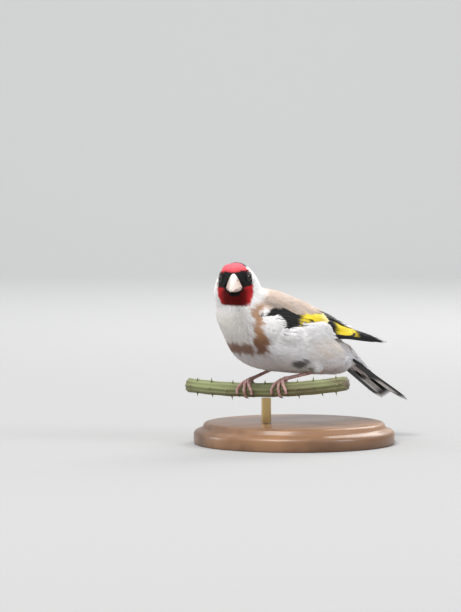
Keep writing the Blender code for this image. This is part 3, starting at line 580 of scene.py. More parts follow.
def coat_depth(points):
    """How deep the skin lies under the outer tips of the feathers."""
    away = np.linalg.norm(points - BILL_ROOT, axis=1)
    return np.interp(away, (3, 9, 16, 26, 40), (0.25, 0.45, 0.7, 1.1, 1.3))


def tail_point(run, aside, lift):
    down = Matrix.Rotation(TAIL_PITCH, 3, "X")
    return TAIL_ROOT + np.array(down @ Vector((aside, run, lift)))


def add_puff(bm, place, radii, subdivisions=4):
    """Adds a rounded form of those radii at the place of a matrix."""
    puff = bmesh.new()
    bmesh.ops.create_icosphere(puff, subdivisions=subdivisions, radius=1)
    bmesh.ops.transform(puff, matrix=place @ Matrix.Diagonal((*radii, 1)), verts=puff.verts)
    add_to(bm, puff)


def add_eye_socket(bm, side):
    """Adds the flesh round an eye: a ball with its outer side cut flat under the lids."""
    ball = bmesh.new()
    bmesh.ops.create_uvsphere(ball, u_segments=24, v_segments=16, radius=EYE_RADIUS + 0.5)
    bmesh.ops.translate(ball, vec=Vector(eye_centre(side)), verts=ball.verts)
    everything = ball.verts[:] + ball.edges[:] + ball.faces[:]
    above = Vector(eye_centre(side) + eye_axis(side) * 1.1)
    cut = bmesh.ops.bisect_plane(
        ball, geom=everything, plane_co=above, plane_no=Vector(eye_axis(side)), clear_outer=True
    )
    rim = [edge for edge in cut["geom_cut"] if isinstance(edge, bmesh.types.BMEdge)]
    bmesh.ops.contextual_create(ball, geom=rim)
    add_to(bm, ball)


Skin = namedtuple("Skin", "points normals faces outer")


def rump():
    """The root of the tail under its coverts, as a loft."""
    rings = []
    angles = np.linspace(0, 2 * math.pi, 20, endpoint=False)
    for run, half_width, tall, lift in RUMP:
        rings.append([tail_point(run, half_width * math.sin(a), lift + tall * math.cos(a)) for a in angles])
    return loft(rings)


def one_surface(bm):
    """A bmesh of forms that overlap, made into one closed and softened surface of triangles."""
    obj = new_object("flesh", mesh_from("flesh", bm))
    remesh = obj.modifiers.new("one_skin", "REMESH")
    remesh.mode = "VOXEL"
    remesh.voxel_size = SKIN_VOXEL
    soften = obj.modifiers.new("soften", "SMOOTH")
    soften.factor = 0.5
    soften.iterations = 8
    bpy.context.view_layer.update()
    made = bpy.data.meshes.new_from_object(obj.evaluated_get(bpy.context.evaluated_depsgraph_get()))
    bpy.data.objects.remove(obj, do_unlink=True)
    bm = bmesh.new()
    bm.from_mesh(made)
    bmesh.ops.triangulate(bm, faces=bm.faces)
    bm.normal_update()
    return bm


def body_skin(material):
    """One closed skin for head, neck, body, thighs and the root of the tail."""
    forms = bmesh.new()
    for name in FLESH:
        add_to(forms, swollen_flesh(name))
    for side in SIDES:
        add_eye_socket(forms, side)
        for centre, radii in LOOSE_FEATHERS.values():
            add_puff(forms, Matrix.Translation((side * centre[0], *centre[1:])), radii)
    add_puff(forms, HEAD @ Matrix.Translation(BROW_PLACE), (BROW_RADIUS,) * 3, 3)
    add_to(forms, rump())
    bm = one_surface(forms)
    points = np.array([vert.co for vert in bm.verts])
    normals = np.array([vert.normal for vert in bm.verts])
    points -= normals * JOIN
    outer = points.copy()
    points -= normals * coat_depth(points)[:, None]
    faces = np.array([[vert.index for vert in face.verts] for face in bm.faces])
    bm.free()
    piece_from_arrays(
        "skin", points, faces, markings(points + normals) * 0.85, material, FLESH
    )
    return Skin(points, normals, faces, outer)


# Templates of single feathers
def vane_template(columns, rows):
    """A closed thin plate: across -1 to 1, along 0 to 1, face 0 or 1, and its quads."""
    bm = bmesh.new()
    bmesh.ops.create_grid(bm, x_segments=columns, y_segments=rows, size=1)
    bmesh.ops.solidify(bm, geom=bm.verts[:] + bm.edges[:] + bm.faces[:], thickness=1.0)
    bmesh.ops.recalc_face_normals(bm, faces=bm.faces)
    heights = np.array([v.co.z for v in bm.verts])
    points = np.array([(v.co.x, (v.co.y + 1) / 2, 0) for v in bm.verts])
    points[:, 2] = (heights > heights.mean()).astype(float)
    faces = np.array([[v.index for v in face.verts] for face in bm.faces])
    bm.free()
    return points, faces


def prism(rows):
    """A tapering lock through rows of (across, along, height, half width), closed to a point."""
    points, faces = [], []
    for across, along, height, half in rows[:-1]:
        ridge = height + half * 0.2
        points += [(across - half, along, height), (across + half, along, height), (across, along, ridge)]
    tip = len(points)
    points.append(tuple(rows[-1][:3]))
    for level in range(len(rows) - 2):
        a = level * 3
        for i in range(3):
            j = (i + 1) % 3
            faces += [(a + i, a + 3 + j, a + j), (a + i, a + 3 + i, a + 3 + j)]
    last = tip - 3
    faces += [(last + i, tip, last + (i + 1) % 3) for i in range(3)]
    faces.append((0, 1, 2))
    return points, faces


def tuft_template(locks, split, draw):
    """A small feather: a plate to the split, and hair-thin locks from there to the tips."""
    points, faces, lock_of = [], [], []

    def add(made, number):
        start = len(points)
        points.extend(made[0])
        faces.extend([tuple(index + start for index in face) for face in made[1]])
        lock_of.extend([number] * len(made[0]))

    plate = [
        (0.0, 0.0, 0.0, 0.30), (0.0, split * 0.5, 0.0, 0.78),
        (0.0, split + 0.12, 0.0, 0.86), (0.0, split + 0.3, 0.0, 0.5),
    ]
    add(prism(plate), 0)
    for k in range(locks):
        middle = -1 + (2 * k + 1) / locks
        wander = draw.uniform(-0.10, 0.10)
        tip = 1.0 - 0.22 * middle**2 + draw.uniform(-0.10, 0.06)
        height = draw.uniform(0.0, 0.05)
        width = 1.0 / locks
        rows = [
            (middle * 0.72, split * 0.55, 0.0, width * 1.25),
            (middle * 0.96 + wander * 0.3, lerp(split, tip, 0.45), height * 0.6, width * 1.1),
            (middle * (0.97 + wander) + wander, tip, height, 0.0),
        ]
        add(prism(rows), k + 1)
    return np.array(points), np.array(faces), np.array(lock_of)


# Scattering the coat
def surface_draws(points, normals, faces, count, draw):
    """Random places spread evenly by area over the skin, with their normals."""
    corners = points[faces]
    areas = np.linalg.norm(np.cross(corners[:, 1] - corners[:, 0], corners[:, 2] - corners[:, 0]), axis=1)
    chosen = np.searchsorted(np.cumsum(areas) / areas.sum(), draw.random(count))
    chosen = np.minimum(chosen, len(faces) - 1)
    u, v = draw.random(count), draw.random(count)
    flip = u + v > 1
    u[flip], v[flip] = 1 - u[flip], 1 - v[flip]
    weights = np.stack([1 - u - v, u, v], axis=1)[:, :, None]
    return (corners[chosen] * weights).sum(axis=1), unit((normals[faces[chosen]] * weights).sum(axis=1))


def thin_out(places, spacing):
    """Indices of places that keep at least their spacing from those kept before."""
    cell = float(spacing.max())
    grid, kept = {}, []
    cells = np.floor(places / cell).astype(int)
    steps = list(itertools.product((-1, 0, 1), repeat=3))
    for index, (place, gap, key) in enumerate(zip(places, spacing, map(tuple, cells))):
        nearby = (grid.get((key[0] + dx, key[1] + dy, key[2] + dz), ()) for dx, dy, dz in steps)
        offsets = (place - other for others in nearby for other in others)
        if all(offset @ offset >= gap * gap for offset in offsets):
            grid.setdefault(key, []).append(place)
            kept.append(index)
    return np.array(kept)


def near_heel(points):
    gaps = [np.linalg.norm(points - np.array((side * HEEL[0], *HEEL[1:])), axis=1) for side in SIDES]
    return np.min(gaps, axis=0)


def eye_offsets(points, side):
    """How far points lie out along an eye's axis, and their vectors away from that axis."""
    axis = eye_axis(side)
    offset = points - eye_centre(side)
    outward = offset @ axis
    return outward, offset - outward[:, None] * axis


def near_eye(points):
    """Distance from the nearer eye's axis, on that eye's own side of the head."""
    gaps = []
    for side in SIDES:
        outward, aside = eye_offsets(points, side)
        gaps.append(np.where(outward > -0.5, np.linalg.norm(aside, axis=1), 99.0))
    return np.min(gaps, axis=0)


def feather_spacing(points):
    away = np.linalg.norm(points - BILL_ROOT, axis=1)
    spacing = np.interp(away, (3, 7, 12, 20, 32), (0.24, 0.30, 0.38, 0.50, 0.60))
    spacing = np.where(near_eye(points) < 3.6, 0.24, spacing)
    return np.where(near_heel(points) < 5, np.minimum(spacing, 0.5), spacing)


def feather_length(points):
    away = np.linalg.norm(points - BILL_ROOT, axis=1)
    length = np.interp(away, (3, 6, 12, 20, 32, 60), (0.9, 1.5, 2.4, 4.2, 6.4, 7.4))
    length = np.minimum(length, np.interp(near_eye(points), (2.3, 3.2, 5.0), (0.55, 1.0, 9.0)))
    return np.minimum(length, np.interp(near_heel(points), (2.5, 7, 9), (2.2, 4.0, 9.0)))


def lie_of_coat(points, normals, draw):
    """Unit directions along the skin in which the feathers lie."""
    from_bill = unit(points - BILL_ROOT)
    body = np.tile(unit(np.array((0.0, 1.0, -0.36))), (len(points), 1))
    reach = np.linalg.norm(points - HEAD_CENTRE, axis=1)
    share = smooth(10.5, 19.0, reach)[:, None]
    flow = from_bill * (1 - share) + body * share
    drift = np.stack([
        np.sin(points @ np.array((0.31, 0.22, 0.4)) + 1.0),
        np.sin(points @ np.array((-0.2, 0.35, 0.27))),
        np.sin(points @ np.array((0.28, -0.3, 0.33)) + 2.0),
    ], axis=1)
    flow = flow + 0.10 * drift + draw.normal(0, 0.06, points.shape)
    for side in SIDES:
        outward, aside = eye_offsets(points, side)
        gap = np.linalg.norm(aside, axis=1)
        part = smooth(4.2, 2.2, gap) * (outward > -0.5)
        flow += unit(aside) * part[:, None] * 1.1
    flank = smooth(-20, -14, points[:, 1]) * smooth(-2, -8, points[:, 1]) * smooth(15, 19, points[:, 2])
    flow[:, 2] += 0.45 * flank * (1 - share[:, 0])
    heel = smooth(6.5, 3.5, near_heel(points))[:, None]
    flow = flow * (1 - heel) + unit(np.array((0.0, -0.10, -1.0))) * heel
    flow -= (flow * normals).sum(axis=1, keepdims=True) * normals
    return unit(flow)


Coat = namedtuple("Coat", "root normal lie length width tip tip_normal")


def place_coat(skin, cover):
    """Roots, directions and tips of all the small feathers; cover holds the big feathers' surfaces."""
    draw = np.random.default_rng(11)
    places, ups = surface_draws(skin.points, skin.normals, skin.faces, TRIED_PLACES, draw)
    places, ups = off_the_bare_parts(places, ups)
    kept = thin_out(places, feather_spacing(places))
    places, ups = places[kept], ups[kept]
    lie = lie_of_coat(places, ups, draw)
    length = feather_length(places) * draw.uniform(0.85, 1.12, len(places))
    tree = BVHTree.FromPolygons(skin.outer.tolist(), skin.faces.tolist())
    rows = []
    for place, up, way, reach in zip(places, ups, lie, length):
        depth = COVER_DEPTH if place[1] < RUMP_FROM else RUMP_COVER_DEPTH
        if cover.ray_cast(Vector(place + up * 0.1), Vector(up), depth)[0] is not None:
            continue
        found, found_normal, _, _ = tree.find_nearest(Vector(place + way * reach))
        if near_eye(np.array(found)[None])[0] < 2.0:
            continue
        tip_up = unit(np.array(found_normal) + up * 0.3)
        tip = np.array(found)
        met, _, _, gap = cover.ray_cast(Vector(tip + tip_up * TIP_LOOK), Vector(-tip_up), TIP_LOOK + 0.2)
        if met is not None and gap > TIP_LOOK - TIP_RISE:
            if place[1] > 9 and up[2] > 0.2:  # the back between the wings
                continue
            tip = np.array(met) + tip_up * TIP_LAP
        rows.append((place, up, way, reach, tip, tip_up))
    place, up, way, reach, tip, tip_up = (np.array(column) for column in zip(*rows))
    high = np.interp(reach, (1, 3, 7), (0.0, 0.03, 0.06)) * draw.uniform(-1.5, 1.5, len(reach))
    width = reach * np.interp(reach, (1, 3, 7), (0.38, 0.27, 0.18))
    return Coat(place, up, way, reach, width, tip + tip_up * high[:, None], tip_up)


def off_the_bare_parts(places, ups):
    """Leaves out what would grow on the eyes and the bill's root."""
    forward, across, up = np.array([BILL.inverted() @ Vector(p) for p in places]).T
    inside = (np.abs(across) < BILL_HALF_WIDTH * 0.9) & (up > -3.2) & (up < 4.1) & (forward > -0.6)
    keep = (near_eye(places) > EYE_CLEARANCE) & ~inside
    return places[keep], ups[keep]


def hermite(start, end, leave, arrive, shares):
    t = shares[None, :, None]
    a, b, c, d = (v[:, None, :] for v in (start, end, leave, arrive))
    places = a * (2 * t**3 - 3 * t**2 + 1) + c * (t**3 - 2 * t**2 + t)
    return places + b * (3 * t**2 - 2 * t**3) + d * (t**3 - t**2)


def lay_tufts(coat, chosen, template):
    """Points of the chosen feathers, all from one template."""
    shape, _, _ = template
    root, up, way = coat.root[chosen], coat.normal[chosen], coat.lie[chosen]
    tip, tip_up = coat.tip[chosen], coat.tip_normal[chosen]
    width = coat.width[chosen]
    chord = tip - root
    length = np.minimum(coat.length[chosen], 1.2 * np.linalg.norm(chord, axis=1))
    leave = (unit(way) * 0.9 + up * 0.30) * length[:, None]
    onward = unit(chord - (chord * tip_up).sum(axis=1, keepdims=True) * tip_up)
    arrive = (onward - tip_up * 0.05) * length[:, None]
    shares = shape[:, 1]
    line = hermite(root - up * 0.25, tip, leave, arrive, shares)
    ahead = hermite(root - up * 0.25, tip, leave, arrive, np.minimum(shares + 0.02, 1.4))
    along = unit(ahead - line + 1e-9)
    upward = unit(lerp(up[:, None, :], tip_up[:, None, :], shares[None, :, None]))
    side = unit(np.cross(along, upward))
    over = np.cross(side, along)
    half = width[:, None, None] * shape[None, :, 0, None] * 0.5
    lift = width[:, None, None] * (shape[None, :, 2, None] * 0.5 - 0.10 * shape[None, :, 0, None] ** 2)
    return line + side * half + over * lift


def tuft_colours(coat, chosen, template, draw, sharp):
    """Colours of the chosen feathers' points, darker at the root; sharp ones change along a feather."""
    shape, _, lock_of = template
    sample = lerp(coat.root[chosen], coat.tip[chosen], 0.7)
    base = markings(sample)[:, None, :]
    if sharp:
        along = lerp(coat.root[chosen][:, None, :], coat.tip[chosen][:, None, :], shape[None, :, 1, None])
        own = markings(along.reshape(-1, 3)).reshape(len(chosen), -1, 3)
        base = lerp(base, own, 0.75)
    shade = draw.normal(1.0, 0.035, (len(chosen), 1, 1))
    locks = draw.normal(1.0, 0.065, (len(chosen), lock_of.max() + 1))[:, lock_of][:, :, None]
    depth = (0.80 + 0.20 * smooth(0.15, 0.80, shape[:, 1]))[None, :, None]
    return np.clip(base * shade * locks * depth, 0, 1)


def soft_normals(coat, chosen, template):
    """Normals that follow the body under the feather and round gently over each lock, for a silky look."""
    shape, _, lock_of = template
    up = lerp(coat.normal[chosen][:, None, :], coat.tip_normal[chosen][:, None, :], shape[None, :, 1, None])
    side = unit(np.cross(coat.lie[chosen], coat.normal[chosen]))
    middles = np.array([shape[lock_of == number, 0].mean() for number in range(lock_of.max() + 1)])
    within = (shape[:, 0] - middles[lock_of]) / 0.35
    return unit(up + side[:, None, :] * within[None, :, None] * 0.35)


def unwrap(roots):
    """Places of roots on an unwrap of the body's own shape, as a sleeve opened along the belly."""
    x, y, z = roots.T
    head = np.linalg.norm(roots - HEAD_CENTRE, axis=1) < 13.5
    forward, left, up = in_head(roots).T
    round_head = np.arctan2(left, up) / (2 * math.pi) + 0.5
    round_body = np.arctan2(x, z - (18.0 - 0.30 * y)) / (2 * math.pi) + 0.5
    along_head = 0.02 + 0.20 * (10 - forward) / 22
    along_body = 0.26 + 0.70 * (y + 34) / 96
    return np.stack([np.where(head, round_head, round_body), np.where(head, along_head, along_body)], axis=1)


def make_coat(coat, material):
    """Joins the small feathers into pieces, region by region."""
    draw = np.random.default_rng(23)
    fine = [tuft_template(3, 0.45, draw) for _ in range(3)]
    loose = [tuft_template(6, 0.30, draw) for _ in range(4)]
    near_bill = np.linalg.norm(coat.root - BILL_ROOT, axis=1)
    on_head = np.linalg.norm(coat.root - HEAD_CENTRE, axis=1) < 12.5
    x, y, z = coat.root.T
    tan = (markings(coat.root)[:, 2] < 0.56) & (z > 16) & ~on_head
    pale = ~on_head & ~tan
    regions = {
        "coat_face": (on_head & (near_bill < 9.5), "face_feathers", fine),
        "coat_head": (on_head & (near_bill >= 9.5), "white_feathers", fine),
        "coat_mantle": (~on_head & tan, "brown_feathers", loose),
        "coat_breast": (pale & (y < -8), "white_feathers", loose),
    }
    for area, level in (("flank", z >= 17), ("belly", z < 17)):
        behind = pale & level & (y >= -8)
        regions[f"coat_{area}_left"] = (behind & (x > 0), "white_feathers", loose)
        regions[f"coat_{area}_right"] = (behind & (x <= 0), "white_feathers", loose)
    for name, (region, slot, templates) in regions.items():
        indices = np.flatnonzero(region)
        size = len(templates[0][1])
        most = PIECE_TRIANGLES // size
        for part, start in enumerate(range(0, len(indices), most)):
            chosen = indices[start : start + most]
            sharp = templates is fine
            join_tufts(f"{name}_{part + 1}", coat, chosen, templates, material, draw, sharp)


def join_tufts(name, coat, chosen, templates, material, draw, sharp):
    gathered = Gathered()
    for number, template in enumerate(templates):
        group = chosen[number :: len(templates)]
        if not len(group):
            continue
        shape, triangles, _ = template
        shifts = np.arange(len(group))[:, None, None] * len(shape)
        patch = np.stack([shape[:, 0] * 0.0012, shape[:, 1] * 0.003 - 0.0015], axis=1)
        gathered.add(
            lay_tufts(coat, group, template).reshape(-1, 3),
            (triangles[None] + shifts).reshape(-1, 3),
            tuft_colours(coat, group, template, draw, sharp).reshape(-1, 3),
            soft_normals(coat, group, template).reshape(-1, 3),
            (unwrap(coat.root[group])[:, None, :] + patch[None]).reshape(-1, 2),
        )
    points, faces, tints, shading, places = gathered.joined()
    piece_from_arrays(name, points, faces, tints, material, (), {"OFBake": places}, shading)


# Large feathers
def wing_point(s, t):
    """Point on the folded left wing: s from wrist to tip, t from its lower to its upper edge."""
    low, high = catmull(WING_LOW, s), catmull(WING_HIGH, s)
    chord = high - low
    along = catmull(WING_LOW, np.minimum(s + 0.01, 1)) - catmull(WING_LOW, np.maximum(s - 0.01, 0))
    outward = unit(np.cross(chord, along))
    outward = outward * np.where(outward[..., :1] < 0, -1, 1)
    bulge = WING_BULGE * 4 * t * (1 - t) * (1 - 0.6 * s)
    return low + chord * t[..., None] + outward * bulge[..., None]


def wing_axes(s, t):
    """Point, direction to the upper edge, and outward normal."""
    step = 0.01
    point = wing_point(s, t)
    along = unit(wing_point(np.minimum(s + step, 1), t) - wing_point(np.maximum(s - step, 0), t))
    over = unit(wing_point(s, t + step) - wing_point(s, t - step))
    outward = unit(np.cross(over, along))
    outward = outward * np.where(outward[..., :1] < 0, -1, 1)
    return point, over, outward


Row = namedtuple(
    "Row", "count root tip low_root high_root low_tip high_tip half_width low_lift high_lift tip_step"
)

# Rows of feathers from the wing's lower edge to its upper edge; places are shares of the wing
WING_ROWS = {
    "primary": Row(8, 0.30, 0.99, 0.22, 0.48, 0.30, 0.76, 2.1, 0.0, 1.05, -0.026),
    "secondary": Row(6, 0.26, 0.70, 0.34, 0.66, 0.34, 0.66, 2.7, 0.8, 1.3, -0.010),
    "tertial": Row(3, 0.28, 0.71, 0.76, 0.90, 0.80, 0.95, 2.4, 2.0, 2.5, -0.050),
    "primary_covert": Row(5, 0.14, 0.46, 0.10, 0.28, 0.08, 0.24, 1.9, 0.8, 1.2, -0.02),
    "greater_covert": Row(10, 0.14, 0.465, 0.26, 0.86, 0.24, 0.86, 2.0, 1.2, 1.9, 0.003),
    "median_covert": Row(8, 0.06, 0.26, 0.16, 0.84, 0.16, 0.84, 2.0, 1.4, 2.1, 0.003),
    "lesser_covert": Row(8, 0.00, 0.16, 0.14, 0.86, 0.14, 0.86, 1.8, 1.6, 2.3, 0.003),
}
ROW_THICKNESS = 0.22


def feather_half_width(along, tip_from, point_share):
    """Share of the full half width along a feather, from its narrow root to its rounded tip."""
    root = 0.45 + 0.55 * smooth(0.0, 0.28, along)
    round_tip = np.sqrt(np.clip(1 - (np.clip(along - tip_from, 0, None) / (1 - tip_from)) ** 2, 0.0, 1))
    return root * lerp(round_tip, np.clip((1 - along) / (1 - tip_from), 0, 1), point_share) + 0.02


def wing_tint(kind, s, t, along, across):
    """Colours of a wing feather: black with yellow bar and panel, and white tips."""
    count = len(s)
    colours = even(np.array(BLACK) * 1.15, count)
    if kind == "greater_covert":
        yellow = smooth(0.40, 0.50, along)
        pale = mix(even(YELLOW, count), WHITE, smooth(0.80, 0.97, along) * 0.45)
        colours = lerp(colours, pale, (yellow * 0.96)[:, None])
    if kind in ("primary", "secondary"):
        yellow = smooth(0.52, 0.57, s) * smooth(0.715, 0.675, s + 0.02 * across)
        yellow *= smooth(0.34, 0.40, t) * smooth(0.86, 0.78, t)
        colours = mix(colours, YELLOW, yellow * 0.94)
    if kind == "primary":
        colours = mix(colours, WHITE, smooth(0.945, 0.975, along + 0.02 * across) * 0.85)
    if kind == "tertial":
        colours = mix(colours, WHITE, smooth(0.92, 0.97, along - 0.05 * across) * 0.85)
    if kind in ("median_covert", "lesser_covert"):
        colours = mix(colours, BARK, smooth(0.75, 1.0, along) * 0.5)
    shaft = smooth(0.10, 0.03, np.abs(across))
    return mix(colours, BARK, shaft * 0.35)


def wing_lift(kind, row, share, s, t, along):
    """How far a feather's surface stands off the wing's own surface."""
    lift = lerp(row.low_lift, row.high_lift, share) * (0.75 + 0.25 * (1 - along))
    lift = lift * (0.3 + 0.7 * smooth(0.0, 0.13, s))
    if "covert" not in kind:
        lift = lift * (0.2 + 0.8 * smooth(0.15, 0.60, along))
    bulge = 1.2 * smooth(0.24, 0.34, s) * smooth(0.62, 0.48, s)
    return lift + bulge * smooth(0.45, 0.60, t) * smooth(0.92, 0.76, t)


def wing_feathers(side, template):
    """Arrays of all the large feathers of one wing."""
    shape, quads = template
    across, along, face = shape.T
    gathered = Gathered()
    draw = np.random.default_rng(5 if side > 0 else 6)
    for kind, row in WING_ROWS.items():
        for order in range(row.count):
            share = order / (row.count - 1)
            droop = row.tip_step * (max(0, order - 2) if kind == "primary" else order)
            root = np.array((row.root, lerp(row.low_root, row.high_root, share)))
            tip = np.array((row.tip + droop, lerp(row.low_tip, row.high_tip, share)))
            tip = tip + draw.normal(0, 0.004, 2)
            s = lerp(root[0], tip[0], along)
            t = lerp(root[1], tip[1], along)
            point, over, outward = wing_axes(s, t)
            narrow = feather_half_width(along, *((0.70, 0.35) if kind == "primary" else (0.82, 0.1)))
            half = row.half_width * narrow * (1 - 0.30 * s)
            cup = -0.10 * half * across**2 + 0.05 * smooth(0.12, 0.0, np.abs(across))
            thickness = (face - 0.5) * ROW_THICKNESS * (1 - 0.6 * along)
            rise = wing_lift(kind, row, share, s, t, along) + cup + thickness
            laid = point + over * (half * across)[:, None] + outward * rise[:, None]
            laid[:, 0] *= side
            uneven = along + draw.normal(0, 0.02) + 0.06 * np.abs(across)
            tints = np.clip(wing_tint(kind, s, t, uneven, across) * draw.normal(1, 0.05), 0, 1)
            length = np.linalg.norm(wing_point(tip[:1], tip[1:]) - wing_point(root[:1], root[1:]))
            barb = along * length - 0.9 * np.abs(across) * half
            facing_out = quads[:, ::-1] if side > 0 else quads
            gathered.add(laid, facing_out, tints, np.stack([across * half, barb], axis=1))
    return gathered.joined()


def tail_feathers(template):
    """Arrays of the twelve tail feathers, black with white spots near the tips."""
    shape, quads = template
    across, along, face = shape.T
    gathered = Gathered()
    down = np.array(Matrix.Rotation(TAIL_PITCH, 3, "X"))
    for rank in reversed(range(TAIL_PAIRS)):
        for side in SIDES:
            outer = rank / (TAIL_PAIRS - 1)
            fan = math.radians(0.9 + 1.0 * rank) * side
            length = TAIL_LENGTH * (0.945 + 0.055 * outer)
            half = (3.0 - 0.5 * outer) * feather_half_width(along, 0.86, 0.25)
            run = length * along
            lift = -0.32 * rank - 0.9 * along**2 - 0.08 * half * across**2 + (face - 0.5) * 0.2
            aside = (1.0 + 0.45 * rank) * side + math.sin(fan) * run + math.cos(fan) * half * across
            laid = np.stack([aside, math.cos(fan) * run - math.sin(fan) * half * across, lift], axis=1)
            colours = even(np.array(BLACK) * 1.2, len(shape))
            tip_spot = smooth(0.93, 0.965, along + 0.02 * np.abs(across))
            colours = mix(colours, WHITE, tip_spot * 0.85)
            if rank >= 3:
                inner = -across * side
                spot = smooth(0.0, 0.25, inner) * smooth(0.62, 0.68, along) * smooth(0.90, 0.84, along)
                colours = mix(colours, WHITE, spot * 0.95)
            places = np.stack([across * half, run - 0.9 * np.abs(across) * half], axis=1)
            gathered.add(TAIL_ROOT + laid @ down.T, quads, np.clip(colours, 0, 1), places)
    return gathered.joined()


def tucked(points, tree):
    """Wing points, with those that the body's feathers cover drawn in under the skin."""
    made = points.copy()
    for index, point in enumerate(points):
        found, normal, _, gap = tree.find_nearest(Vector(point), 4.0)
        if found is None:
            continue
        depth = float((found - Vector(point)).dot(normal))
        sink = (float(coat_depth(point[None])[0]) + 0.35) * float(smooth(-0.15, 0.45, depth))
        made[index] = point - np.array(normal) * sink
    return made


def make_large_feathers(material, skin):
    """Wings and tail, and a tree of their surfaces for the small feathers to lie over."""
    template = vane_template(6, 22)
    tree = BVHTree.FromPolygons(skin.outer.tolist(), skin.faces.tolist())
    made = {}
    for side, word in WORDS.items():
        points, *rest = wing_feathers(side, template)
        made[f"wing_feathers_{word}"] = ((f"wing_{word}",), (tucked(points, tree), *rest))
    made["tail_feathers"] = (("tail",), tail_feathers(template))
    cover = Gathered()
    for name, (replaced, (points, faces, tints, places)) in made.items():
        maps = {"Vane": places}
        piece_from_arrays(name, points, faces, tints, material, replaced, maps)
        cover.add(points, faces)
    return BVHTree.FromPolygons(*(array.tolist() for array in cover.joined()))


# Bill and eyes
def bill_section(upper, share, count):
    """Outline across one half of the bill as (across, up), from its left edge over to its right one."""
    taper = (1 - share) ** 0.86 * (1 - 0.12 * math.sin(math.pi * share)) + 0.035
    half = BILL_HALF_WIDTH * taper * (1 if upper else 0.93)
    tall = (UPPER_DEPTH if upper else LOWER_DEPTH) * taper
    if upper:
        tall *= 1 + 0.10 * math.sin(math.pi * share)
    mouth = -MOUTH_DROP * share**2 - GAPE_DROP * (1 - share) ** 3
    mouth += BILL_GAP / 4 if upper else -BILL_GAP / 4
    angles = np.linspace(0, math.pi, count)
    rise = np.sin(angles) ** (1.6 if upper else 0.65) * tall
    across = np.cos(angles) * half * (1 - 0.18 * np.sin(angles))
    return across, mouth + (rise if upper else -rise)


def paint_bill(obj, upper, length):
    """Ivory horn, pinker at the root and pale along the ridge, with a dark tip and nostrils."""
    points = np.array([v.co for v in obj.data.vertices]) / MM - GRIP
    local = np.array([BILL.inverted() @ Vector(p) for p in points])
    share = np.clip(local[:, 0] / length, 0, 1)
    colours = even((0.80, 0.67, 0.60), len(points))
    colours = mix(colours, (0.74, 0.50, 0.44), smooth(0.4, 0.0, share) * 0.6)
    ridge = smooth(1.8, 3.6, local[:, 2]) if upper else 0 * share
    colours = mix(colours, (0.86, 0.80, 0.75), ridge * 0.8)
    colours = mix(colours, (0.10, 0.08, 0.08), smooth(0.86, 1.0, share) * 0.75)
    if upper:
        pit = np.hypot((local[:, 0] - 0.9) / 0.6, (local[:, 2] - 2.2) / 0.5)
        colours = mix(colours, (0.06, 0.04, 0.04), smooth(1.0, 0.4, pit))
    paint(obj.data, colours)


def make_bill(material):
    for upper, word in ((True, "upper"), (False, "lower")):
        length = BILL_LENGTH if upper else BILL_LENGTH * 0.93
        rings = []
        for share in np.concatenate([[-0.12], np.linspace(0, 0.9, 22), [0.94, 0.97, 0.985, 1.0]]):
            held = max(share, 0.0)
            across, up = bill_section(upper, held, 25)
            fade = 1.0 if share < 0.985 else (0.8 if share < 1 else 0.45)
            middle = up[0]
            ring = []
            for y, z in zip(across * fade, middle + (up - middle) * fade):
                dent = math.exp(-(((length * share - 0.9) / 0.45) ** 2 + ((z - 2.2) / 0.5) ** 2))
                squeeze = 1 - 0.20 * dent if upper else 1.0
                ring.append(tuple(BILL @ Vector((length * share, y * squeeze, z))))
            rings.append(ring)
        obj = piece_from_bmesh(f"bill_{word}_horn", loft(rings), material, (f"bill_{word}",))
        paint_bill(obj, upper, length)


def make_eyeball(side, word, place, material):
    """A ball with a very dark brown iris round a black pupil."""
    axis, centre = eye_axis(side), eye_centre(side)
    bm = bmesh.new()
    bmesh.ops.create_uvsphere(bm, u_segments=48, v_segments=32, radius=EYE_RADIUS, matrix=place)
    obj = piece_from_bmesh(f"eyeball_{word}", bm, material, (f"eye_{word}",))
    points = np.array([v.co for v in obj.data.vertices]) / MM - GRIP
    facing = unit(points - centre) @ axis
    angle = np.degrees(np.arccos(np.clip(facing, -1, 1)))
    colours = even((0.020, 0.011, 0.007), len(points))
    paint(obj.data, mix(colours, (0.002, 0.002, 0.002), smooth(29, 25, angle)))


def make_eyelid(side, word, place, material):
    """A soft dark ring of bare skin, a little uneven, that lies on the ball."""
    rings = []
    for angle in np.linspace(0, 2 * math.pi, 40, endpoint=False):
        spoke = np.array((math.cos(angle), math.sin(angle) * 0.93))
        puff = 1 + 0.10 * math.sin(angle * 13 + side)
        ring = []
        for turn in np.linspace(0, 2 * math.pi, 10, endpoint=False):
            out, rise = math.cos(turn) * LID_HALF_WIDTH * puff, math.sin(turn) * LID_HALF_HEIGHT * puff
            ring.append(tuple(place @ Vector((*(spoke * (LID_RADIUS + out)), LID_OUT + rise - 0.25 * out))))
        rings.append(ring)
    bm = loft(rings + rings[:1], closed_ends=False)
    bmesh.ops.remove_doubles(bm, verts=bm.verts, dist=1e-5)
    lid = piece_from_bmesh(f"eyelid_{word}", bm, material)
    paint(lid.data, even((0.014, 0.012, 0.012), len(lid.data.vertices)))


def make_eyes(ball_material, lid_material):
    for side, word in WORDS.items():
        turn = Vector(eye_axis(side)).to_track_quat("Z", "Y").to_matrix().to_4x4()
        place = Matrix.Translation(Vector(eye_centre(side))) @ turn
        make_eyeball(side, word, place, ball_material)
        make_eyelid(side, word, place, lid_material)


# Legs and feet
def stem_axis(along):
    flat = np.array((math.cos(STEM_YAW), math.sin(STEM_YAW), 0.0))
    direction = flat * math.cos(STEM_RISE) + np.array((0, 0, math.sin(STEM_RISE)))
    sag = STEM_BEND * (2 * along / STEM_LENGTH) ** 2
    return STEM_CENTRE + direction * along + np.array((0, 0, sag))


